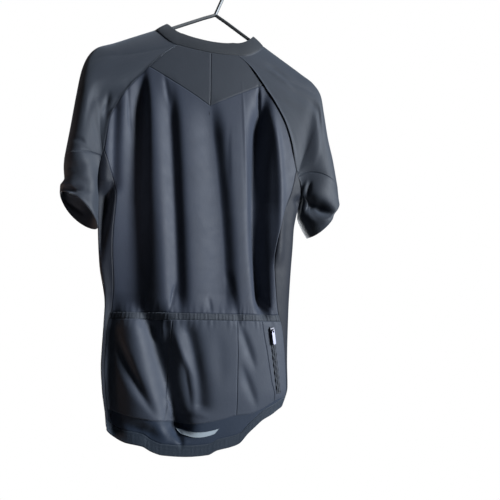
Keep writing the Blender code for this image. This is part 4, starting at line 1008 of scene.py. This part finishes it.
THICKNESS = 0.0009
SEAM_ROWS = (0.0003, 0.0008, 0.0014)  # extra rows this far inside an edge
SEAM_ROWS_END = 0.85  # share of the first cell that they have to stay in
SEAM_DEPTH = 0.0008  # how far an edge rolls in at its seam
SEAM_REACH = 0.0008
SHEETS = {}  # the points and normals of each cloth piece, for what is sewn on it


def link(thing):
    bpy.context.scene.collection.objects.link(thing)
    return thing


def add_mesh(name, points, faces, material, uvs=None):
    mesh = bpy.data.meshes.new(name)
    mesh.from_pydata(points, [], faces)
    mesh.shade_smooth()
    if uvs is not None:
        mesh.uv_layers.new(name="cloth").data.foreach_set("uv", np.asarray(uvs, np.float32).ravel())
    mesh.materials.append(MATERIALS[material])
    return link(bpy.data.objects.new(name, mesh))


def settle(piece, replaced=None):
    """A piece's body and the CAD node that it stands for."""
    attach(piece, "garment")
    if replaced:
        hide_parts(replaced)


def run_lengths(points):
    """Distance along each column from the first row."""
    steps = np.linalg.norm(np.diff(points, axis=0), axis=-1)
    return np.concatenate([np.zeros((1, points.shape[1])), np.cumsum(steps, axis=0)])


def line_lengths(line):
    return run_lengths(line[:, None])[:, 0]


def along_line(line, lengths, at):
    """What a line of points or directions has at a distance along it."""
    return np.array([np.interp(at, lengths, line[:, axis]) for axis in range(3)])


def add_edge_rows(points, normal):
    """Close rows just inside the first row of a sheet."""
    cell = np.linalg.norm(points[1] - points[0], axis=-1).mean()
    shares = [distance / cell for distance in SEAM_ROWS if distance < SEAM_ROWS_END * cell]
    if not shares:
        return points, normal
    more_points = [mix(points[0], points[1], share) for share in shares]
    more_normals = [unit(mix(normal[0], normal[1], share)) for share in shares]
    return (
        np.concatenate([points[:1], more_points, points[1:]]),
        np.concatenate([normal[:1], more_normals, normal[1:]]),
    )


def turned(sheet):
    return np.swapaxes(sheet, 0, 1)


def edge_first(sheet, edge):
    """A sheet turned so that its first row is the named edge: t, b, l or r."""
    sheet = turned(sheet) if edge in "lr" else sheet
    return sheet[::-1] if edge in "br" else sheet


def edge_back(sheet, edge):
    """The same sheet turned back."""
    sheet = sheet[::-1] if edge in "br" else sheet
    return turned(sheet) if edge in "lr" else sheet


def roll_edges(points, normal, edges):
    """Finer rows along the named edges, rolled in where they are sewn."""
    depth = np.zeros(points.shape[:2])
    for edge in edges:
        points, normal, depth = (edge_first(part, edge) for part in (points, normal, depth))
        before = len(points)
        points, normal = add_edge_rows(points, normal)
        depth = np.concatenate([np.repeat(depth[:1], len(points) - before, axis=0), depth])
        depth = np.maximum(depth, SEAM_DEPTH * np.exp(-((run_lengths(points) / SEAM_REACH) ** 2)))
        points, normal, depth = (edge_back(part, edge) for part in (points, normal, depth))
    return points - normal * depth[..., None], normal


def cells(grid):
    """The four corners of each cell of a grid, going round."""
    corners = np.stack([grid[:-1, :-1], grid[:-1, 1:], grid[1:, 1:], grid[1:, :-1]], axis=2)
    return corners.reshape(-1, 4, *grid.shape[2:])


def looped(sheet):
    """A sheet with its first column again after its last."""
    return np.concatenate([sheet, sheet[:, :1]], axis=1)


def shell(name, outer, normal, material, thick=THICKNESS, closed=False):
    """A closed thin wall under a sheet of points, with its cloth coordinates in metres."""
    rows, count = outer.shape[:2]
    index = np.arange(rows * count).reshape(rows, count)
    wrapped, index = (looped(outer), looped(index)) if closed else (outer, index)
    across = turned(run_lengths(turned(wrapped)))
    middle = across[:, count // 2 : count // 2 + 1]
    uv = np.stack([across - middle, -run_lengths(wrapped)], axis=-1)
    under = index + rows * count
    faces, uvs = [cells(index), cells(under)[:, ::-1]], [cells(uv), cells(uv)[:, ::-1]]
    rims = [(np.s_[0], 1), (np.s_[-1], -1)]
    if not closed:
        rims += [(np.s_[:, 0], -1), (np.s_[:, -1], 1)]
    for edge, way in rims:
        faces.append(cells(np.stack([index[edge], under[edge]]))[:, ::way])
        uvs.append(cells(np.stack([uv[edge], uv[edge]]))[:, ::way])
    faces, uvs = np.concatenate(faces), np.concatenate(uvs)
    points = np.concatenate([outer.reshape(-1, 3), (outer - normal * thick).reshape(-1, 3)])
    a, b, c = points[faces[0, :3]]
    if np.dot(np.cross(b - a, c - a), normal[0, 0]) < 0:
        faces, uvs = faces[:, ::-1], uvs[:, ::-1]
    return add_mesh(name, points, faces.tolist(), material, uvs)


def cloth(name, points, normal, material, edges="tblr", closed=False, rests_on=(), lap=None, flat=None):
    """One cut piece: its wall and the CAD node that it stands for. A lap, with a height for
    each column, lifts its first row over its neighbour at the seam."""
    points = creased(points, normal)
    if lap is not None:
        points = points + normal * (lap * np.exp(-((run_lengths(points) / LAP_REACH) ** 2)))[..., None]
    SHEETS[name] = (points, normal)
    piece = shell(f"{name}_cloth", *roll_edges(points, normal, edges), material, closed=closed)
    settle(piece, name)
    loop = looped(points) if closed else points
    flat = flat or (run_lengths(turned(loop))[-1].max(), run_lengths(loop)[-1].max())


def on_body(grid, lift=0.0):
    """A grid of the body's angles and heights as points and normals."""
    angle, down = grid
    normal = normals(body, angle, down, 1)
    return body(angle, down) + normal * lift, normal


def refined(grid, times):
    """A grid with more columns."""
    count = grid[0].shape[1]
    at = np.linspace(0, count - 1, (count - 1) * times + 1)
    return tuple(np.array([np.interp(at, np.arange(count), row) for row in part]) for part in grid)


# ---------------------------------------------------------------- pieces

# Small gathers: height and period
BACK_GATHERS = (0.00016, 0.011)
HEM_GATHERS = (0.00005, 0.007)
ELASTIC_GATHERS = (0.00014, 0.0060)
POCKET_GATHERS = (0.00020, 0.0120)
GATHER_WAVES = ((1.0, 1.0, 0.4), (0.7, 1.37, 1.9), (0.5, 0.73, 4.1))  # share, stretch, phase
BACK_GATHER_REACH = 0.022  # from the pockets' top
POCKET_GATHER_REACH = 0.020
HEM_ROWS = 10
HEM_EDGE = 0.4  # share of their height that the hem's gathers have at its edges

SLEEVE_COLUMNS = 66
SLEEVE_ROWS = 90
BAND_COLUMNS = 80
BAND_ROWS = 48
SLEEVE_CUTS = {1: (0.300, 0.316), -1: (0.340, 0.342)}  # width at the underarm, length along the shoulder
LAPS = {1: 0.0015, -1: 0.0026}  # how far a sleeve stands over the body at its seam
LAP_REACH = 0.0050
LAP_ENDS = (1.5, 2.0)  # steps over which it fades at the seam's foot and at the neck
FIRST_NORMAL = 0.12  # places nearer than this to the neck take their normals from here
BAND_NORMAL = 0.1  # the same past the band's seam, under the arm

COLLAR_COLUMNS = 120
COLLAR_ROWS = 12
FILM_LIFT = LAYER + 0.001
FILM_THICKNESS = 0.0006
FILM_COLUMNS, FILM_ROWS = 60, 10


def gathered(points, normal, size, strength):
    """Small gathers across a sheet: ridges running along its columns."""
    height, period = size
    u = turned(run_lengths(turned(points))).mean(axis=0)
    wavy = sum(
        share * np.sin(2 * np.pi * u / (period * stretch) + phase) for share, stretch, phase in GATHER_WAVES
    )
    return points + normal * (height * wavy[None, :, None] * strength[..., None])


def build_body():
    back, lower = back_grid(), back_lower_grid()
    points, normal = on_body(back)
    strength = ease((back[1] - (POCKET_TOP - BACK_GATHER_REACH)) / BACK_GATHER_REACH)
    back_points = gathered(points, normal, BACK_GATHERS, strength)
    cloth("back_panel", back_points, normal, "knit", rests_on=["yoke_left_cloth"])
    cloth("back_lower_panel", *on_body(lower), "tail_knit")
    hem = {}
    for side in (1, -1):
        name = word(side)
        cloth(f"yoke_{name}", *on_body(yoke_grid(side)), "yoke_knit", rests_on=["hanger"])
        front = front_grid(side)
        cloth(f"front_{name}", *on_body(front), "knit")
        flank = side_grid(side, back, lower, front)
        cloth(f"side_panel_{name}", *on_body([part[:, ::2] for part in flank]), "mesh_knit")
        build_hem(f"hem_band_front_{name}", front[0][-1])
        hem[side] = flank[0][-1][::side]
    build_hem("hem_band_back", np.concatenate([hem[-1][:-1], lower[0][-1], hem[1][1:]]))
    build_pockets(lower)


def build_hem(name, angle):
    """A part of the gripper band, under a row of the body's angles."""
    share = np.linspace(0, 1, HEM_ROWS)[:, None]
    grid = (np.repeat(angle[None, :], HEM_ROWS, axis=0), hem_top(angle)[None, :] + HEM_HEIGHT * share)
    points, normal = on_body(refined(grid, 2))
    strength = np.repeat(mix(HEM_EDGE, 1, np.sin(np.pi * share)), points.shape[1], axis=1)
    cloth(name, gathered(points, normal, HEM_GATHERS, strength), normal, "rib")


def build_pockets(lower):
    angle, down = lower
    lift = LAYER + WALL
    points, normal = on_body(refined([part[: ELASTIC_ROWS + 1] for part in lower], 2), lift)
    elastic_points = gathered(points, normal, ELASTIC_GATHERS, np.ones(points.shape[:2]))
    cloth("pocket_elastic", elastic_points, normal, "elastic")
    names = ("zip_pocket_panel", "pocket_right", "pocket_centre", "pocket_left")
    rows = slice(ELASTIC_ROWS, ELASTIC_ROWS + POCKET_ROWS + 1)
    start = 0
    for name, count in zip(names, POCKET_COLUMNS):
        across = slice(start, start + count + 1)
        points, normal = on_body((angle[rows, across], down[rows, across]), lift)
        strength = ease(1 - (down[rows, across] - POCKET_TOP - ELASTIC_HEIGHT) / POCKET_GATHER_REACH)
        cloth(name, gathered(points, normal, POCKET_GATHERS, strength), normal, "pocket_knit")
        start += count


def sleeve_sheet(side, steps, places):
    """A sleeve's points and normals, round from behind to in front, at its places."""
    behind = steps / LOOP_STEPS
    ahead = (2 - behind)[::-1]
    closed = steps[0] == 0
    turns = np.concatenate([behind, ahead[1:-1] if closed else ahead[1:]])
    turn, place = np.meshgrid(turns, places)
    under = closed * (LOOP_STEPS * (1 - np.abs(turn - 1)) < BAND_STEP)
    at = np.maximum(place, np.where(under, BAND_PLACE + BAND_NORMAL, FIRST_NORMAL))
    return sleeve(side, turn, place), normals(lambda u, v: sleeve(side, u, v), turn, at, side)


def build_sleeves():
    for side in (1, -1):
        steps = np.linspace(BAND_STEP, LOOP_STEPS, SLEEVE_COLUMNS)
        places = np.linspace(0, BAND_PLACE, SLEEVE_ROWS)
        half = LAPS[side] * ease((NECK_STEP - steps) / LAP_ENDS[1]) * ease((steps - BAND_STEP) / LAP_ENDS[0])
        lap = np.concatenate([half, half[-2::-1]])
        sheet = sleeve_sheet(side, steps, places)
        more = {"rests_on": ["hanger"], "lap": lap, "flat": SLEEVE_CUTS[side]}
        cloth(f"sleeve_{word(side)}", *sheet, "sleeve_knit", edges="blr", **more)
        steps = np.linspace(0, LOOP_STEPS, BAND_COLUMNS)
        places = np.linspace(BAND_PLACE, CUFF_PLACE, BAND_ROWS)
        sheet = sleeve_sheet(side, steps, places)
        cloth(f"sleeve_band_{word(side)}", *sheet, "sleeve_knit", edges="tb", closed=True)


def build_collar():
    heights = np.linspace(0, 1, COLLAR_ROWS)
    halves = []
    for side in (-1, 1):
        end = 1 - NECK_CORNER * TAPE_HALF / abs(float(seam_x(np.array(BACK_NECK), side)))
        place, height = np.meshgrid(np.linspace(0, end, COLLAR_COLUMNS), heights)
        outer = collar(side, place, height)
        # the normals are taken just inside the ends, where the surface goes on
        inside, within = np.clip(place, 0.003, 0.97), np.clip(height, 0.01, 0.99)
        normal = normals(lambda u, v: collar(side, u, v), inside, within, -side)
        if side < 0:
            outer, normal = outer[:, :0:-1], normal[:, :0:-1]
        halves.append((outer, normal))
    cloth("collar", *(np.concatenate(parts, axis=1) for parts in zip(*halves)), "collar_knit")


def build_reflective():
    share = np.linspace(-1, 1, FILM_COLUMNS)[None, :]
    row = np.linspace(0, 1, FILM_ROWS)[:, None]
    half = mix(REFLECTIVE_TOP[0], REFLECTIVE_FOOT[0], row)
    down = mix(REFLECTIVE_TOP[1], REFLECTIVE_FOOT[1], row) + REFLECTIVE_SAG * (1 - share**2)
    points, normal = on_body((back_angle(REFLECTIVE_CENTRE + half * share, down), down), FILM_LIFT)
    points = creased(points, normal)
    piece = shell("reflective_tab_film", points, normal, "reflective_film", thick=FILM_THICKNESS)
    settle(piece, "reflective_tab")


# ---------------------------------------------------------------- zips

TAPE_RIPPLE = 0.0007  # the pocket zip's tape puckers along its edges
TAPE_RIPPLES = 9
TAPE_FLAT = 0.2  # share of its length that lies flat at its top
TAPE_COLUMNS = 9
TAPE_THICKNESS = 0.0008
TOOTH_HEIGHT = 0.0007
TOOTH_LIFT = 0.0002
TOOTH_STAGGER = 0.22  # share of its size that each second tooth is moved aside by
TOOTH_SHARE = 0.36  # half its width, as a share of the pitch
TOOTH_TOP = (0.8, 0.6)  # shares of its foot that its top has across and along the tape
SQUARE = ((-1, -1), (1, -1), (1, 1), (-1, 1))
BOX = ((4, 5, 6, 7), (0, 1, 5, 4), (1, 2, 6, 5), (2, 3, 7, 6), (3, 0, 4, 7), (3, 2, 1, 0))


def pocket_zip(share, level):
    """The pocket zip's tape, on the zip pocket's panel."""
    share, level = paired(share, level)
    x = mix(ZIP_TOP[0], ZIP_BOTTOM[0], level) + share * POCKET_TAPE_HALF
    down = mix(ZIP_TOP[1], ZIP_BOTTOM[1], level)
    ripple = TAPE_RIPPLE * np.sin(2 * np.pi * TAPE_RIPPLES * level) * share * ease((level - TAPE_FLAT) / TAPE_FLAT)
    lift = (2 * LAYER + WALL + TAPE_WALL + ripple)[..., None]
    return creased(*on_body((back_angle(x, down), down), lift))


def build_tape(name, surface, levels, outward, pitch, size):
    share, level = np.meshgrid(np.linspace(-1, 1, TAPE_COLUMNS), levels)
    points = surface(share, level)
    normal = np.cross(np.gradient(points, axis=1), np.gradient(points, axis=0))
    normal = unit(normal * np.where(np.sum(normal * outward, axis=-1, keepdims=True) < 0, -1, 1))
    piece = shell(f"{name}_tape_cloth", points, normal, "zip_tape", thick=TAPE_THICKNESS)
    settle(piece, f"{name}_tape")
    build_teeth(f"{name}_teeth", points, normal, pitch, size)


def build_teeth(name, points, normal, pitch, size):
    """A coil's teeth down the middle of a tape: small rounded bars across it, in pairs."""
    middle = points.shape[1] // 2
    line = points[:, middle]
    lengths = line_lengths(line)
    verts, faces = [], []
    for k, at in enumerate(np.arange(pitch, lengths[-1] - pitch, pitch)):
        n = unit(along_line(normal[:, middle], lengths, at))
        x = unit(along_line(unit(points[:, -1] - points[:, 0]), lengths, at))
        t = np.cross(n, x)
        aside = size * TOOTH_STAGGER if k % 2 else -size * TOOTH_STAGGER
        centre = along_line(line, lengths, at) + n * TOOTH_LIFT + x * aside
        faces += [[len(verts) + corner for corner in quad] for quad in BOX]
        for level, (across, along) in enumerate(((1, 1), TOOTH_TOP)):
            for dx, dt in SQUARE:
                foot = centre + x * dx * across * size / 2 + t * dt * along * pitch * TOOTH_SHARE
                verts.append(foot + n * level * TOOTH_HEIGHT)
    settle(add_mesh(name, verts, faces, "thread"))


def build_zips():
    behind, ahead = np.array([0, 1, 0]), np.array([0, -1, 0])
    build_tape("zip_pocket", pocket_zip, np.linspace(0, 1, 60), behind, pitch=0.0012, size=0.0026)
    levels = np.concatenate([np.linspace(0, 1, 200), np.linspace(1, 2, 24)[1:]])
    build_tape("front_zip", front_strip, levels, ahead, pitch=0.0014, size=0.0034)


# ---------------------------------------------------------------- sewing

# Rows of stitches: the pieces, their edges (t, b, l, r) and how far inside them
STITCHING = {
    "body_stitching": (
        (("back_panel", "back_lower_panel"), "lr", (0.0018, 0.0048)),
        (("front_left", "front_right"), "l", (0.0018, 0.0048)),
        (("hem_band_back", "hem_band_front_left", "hem_band_front_right"), "t", (0.0014, 0.0062, 0.0110, 0.0158)),
        (("collar",), "tb", (0.0014, 0.0040)),
    ),
    "sleeve_stitching": (
        (("sleeve_left", "sleeve_right"), "t", (0.0018, 0.0048)),
        (("sleeve_band_left", "sleeve_band_right"), "t", (0.0018,)),
        (("sleeve_band_left", "sleeve_band_right"), "b", (0.0100, 0.0130)),
    ),
    "pocket_stitching": (
        (("pocket_right", "pocket_centre", "pocket_left", "zip_pocket_panel"), "lrb", (0.0016,)),
        (("pocket_elastic",), "tb", (0.0015,)),
    ),
}
# The tack under the yoke's point
TACK_START, TACK_END = 0.010, 0.016
TACK_POINTS = 6
TACK_LIFT = 0.0003


def inset_line(name, edge, distance):
    """The line this far inside an edge of a piece, with its normals."""
    points, normal = (edge_first(part, edge) for part in SHEETS[name])
    lengths = run_lengths(points)
    line, out = (
        np.array([along_line(part[:, k], lengths[:, k], distance) for k in range(part.shape[1])])
        for part in (points, normal)
    )
    return line, unit(out)


class Thread:
    """Stitches gathered into one piece."""

    RISE = 0.6  # share of its radius that a stitch's middle stands over its ends

    def __init__(self, pitch=0.0026, length=0.0019, radius=0.00022):
        self.pitch, self.length, self.radius = pitch, length, radius
        self.verts, self.faces = [], []

    def row(self, line, out):
        lengths, radius = line_lengths(line), self.radius
        for at in np.arange(self.pitch, lengths[-1] - self.pitch / 2, self.pitch):
            start, end = (along_line(line, lengths, at + way * self.length / 2) for way in (-1, 1))
            n = unit(along_line(out, lengths, at))
            x = np.cross(unit(end - start), n)
            middle = (start + end) / 2 + n * radius * self.RISE
            base = len(self.verts)
            self.verts += [start - n * radius, end - n * radius]
            self.verts += [middle + way * radius for way in (x, n, -x, -n)]
            for k in range(4):
                a, b = base + 2 + k, base + 2 + (k + 1) % 4
                self.faces += [[base, b, a], [base + 1, a, b]]

    def finish(self, name):
        settle(add_mesh(name, self.verts, self.faces, "thread"))


def build_tack():
    down = YOKE_POINT + np.linspace(TACK_START, TACK_END, TACK_POINTS)
    points, normal = on_body((back_angle(np.zeros(TACK_POINTS), down), down), TACK_LIFT)
    thread = Thread(pitch=0.0008, length=0.0014, radius=0.00035)
    thread.row(creased(points, normal), normal)
    thread.finish("yoke_tack")


def build_stitching():
    for piece, seams in STITCHING.items():
        thread = Thread()
        for names, edges, distances in seams:
            for name, edge, distance in itertools.product(names, edges, distances):
                thread.row(*inset_line(name, edge, distance))
        thread.finish(piece)


# ---------------------------------------------------------------- studio

WORLD_COLOUR = (0.80, 0.88, 1.0, 1)
WORLD_STRENGTH = 0.004
FLOOR_CORNERS = 96
FLOOR_HEIGHT = -1.75
Lamp = namedtuple("Lamp", "name place aim size power colour")
LAMPS = (
    Lamp("key", (-4.81, 3.50, 0.99), (0.0, 0.0, -0.45), 1.7, 680.0, (0.88, 0.94, 1.0)),
    Lamp("front fill", (0.6, 2.4, 0.2), (0.0, 0.0, -0.45), 1.2, 0.6, (0.85, 0.92, 1.0)),
    Lamp("top", (0.1, 0.25, 2.0), (0.0, 0.0, -0.15), 0.9, 9.0, (0.96, 0.97, 1.0)),
    Lamp("warm rim", (1.5, -0.60, -0.70), (0.15, 0.0, -0.42), 0.5, 3.6, (1.0, 0.68, 0.52)),
    Lamp("other side", (0.0, -3.3, -0.9), (0.0, 0.0, -0.45), 1.6, 110.0, (0.94, 0.97, 1.0)),
)
CUFF_LIGHT = Lamp("cuff light", (0.9, 0.9, -1.3), (0.225, 0.0, -0.475), 0.12, 45.0, (1.0, 0.86, 0.84))
CUFF_LIGHT_DEGREES = 6.5
LENS, SENSOR = 37.44, 36.0
CAMERA_PLACE = (0.209, 0.876, -0.656)
CAMERA_TURN = (-18.0, 8.3, 0.9)  # yaw, pitch and roll in degrees


def build_world():
    """A dim sky for the garment and a white one for the camera."""
    world = bpy.data.worlds.new("studio")
    bpy.context.scene.world = world
    world.use_nodes = True
    tree = world.node_tree
    lit = tree.nodes["Background"]
    put(tree, lit, {"Color": WORLD_COLOUR, "Strength": WORLD_STRENGTH})
    seen = node(tree, "ShaderNodeBackground", {"Color": (1, 1, 1, 1), "Strength": 1.0})
    by_camera = node(tree, "ShaderNodeLightPath").outputs["Is Camera Ray"]
    mixed = node(tree, "ShaderNodeMixShader", {0: by_camera, 1: lit.outputs[0], 2: seen.outputs[0]})
    put(tree, tree.nodes["World Output"], {"Surface": mixed.outputs[0]})


def build_floor():
    mesh = bpy.data.meshes.new("floor")
    turns = np.linspace(0, 2 * math.pi, FLOOR_CORNERS, endpoint=False)
    rim = [(math.cos(a), math.sin(a), FLOOR_HEIGHT) for a in turns]
    mesh.from_pydata(rim, [], [tuple(range(FLOOR_CORNERS))])
    made, tree, shader = new_material("pale floor")
    put(tree, shader, {"Base Color": (0.55, 0.55, 0.55, 1), "Roughness": 0.9})
    mesh.materials.append(made)
    link(bpy.data.objects.new("floor", mesh))


def add_lamp(row, kind):
    lamp = bpy.data.lights.new(row.name, kind)
    lamp.energy, lamp.color = row.power, row.colour
    thing = link(bpy.data.objects.new(row.name, lamp))
    away = Vector(row.place) - Vector(row.aim)
    thing.matrix_world = Matrix.Translation(row.place) @ away.to_track_quat("Z", "Y").to_matrix().to_4x4()
    return lamp


def build_lamps():
    for row in LAMPS:
        lamp = add_lamp(row, "AREA")
        lamp.shape, lamp.size = "DISK", row.size
    spot = add_lamp(CUFF_LIGHT, "SPOT")
    spot.shadow_soft_size = CUFF_LIGHT.size
    spot.spot_size, spot.spot_blend = math.radians(CUFF_LIGHT_DEGREES), 1.0


def build_camera():
    data = bpy.data.cameras.new("camera")
    data.sensor_width, data.lens = SENSOR, LENS
    camera = link(bpy.data.objects.new("camera", data))
    yaw, pitch, roll = (math.radians(degrees) for degrees in CAMERA_TURN)
    forward = Vector((math.sin(yaw) * math.cos(pitch), -math.cos(yaw) * math.cos(pitch), math.sin(pitch)))
    right = forward.cross(Vector((0, 0, 1))).normalized()
    up = right.cross(forward)
    across = math.cos(roll) * right + math.sin(roll) * up
    upward = -math.sin(roll) * right + math.cos(roll) * up
    turn = Matrix((across, upward, -forward)).transposed().to_4x4()
    camera.matrix_world = Matrix.Translation(CAMERA_PLACE) @ turn
    bpy.context.scene.camera = camera


for build in (
    build_body, build_sleeves, build_collar, build_reflective, build_zips,
    build_tack, build_stitching, build_world, build_floor, build_lamps, build_camera,
):
    build()
for part, finish in HARD_PARTS.items():
    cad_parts[part].data.materials[0] = MATERIALS[finish]
bpy.context.scene.view_settings.view_transform = "Standard"
bpy.context.view_layer.update()
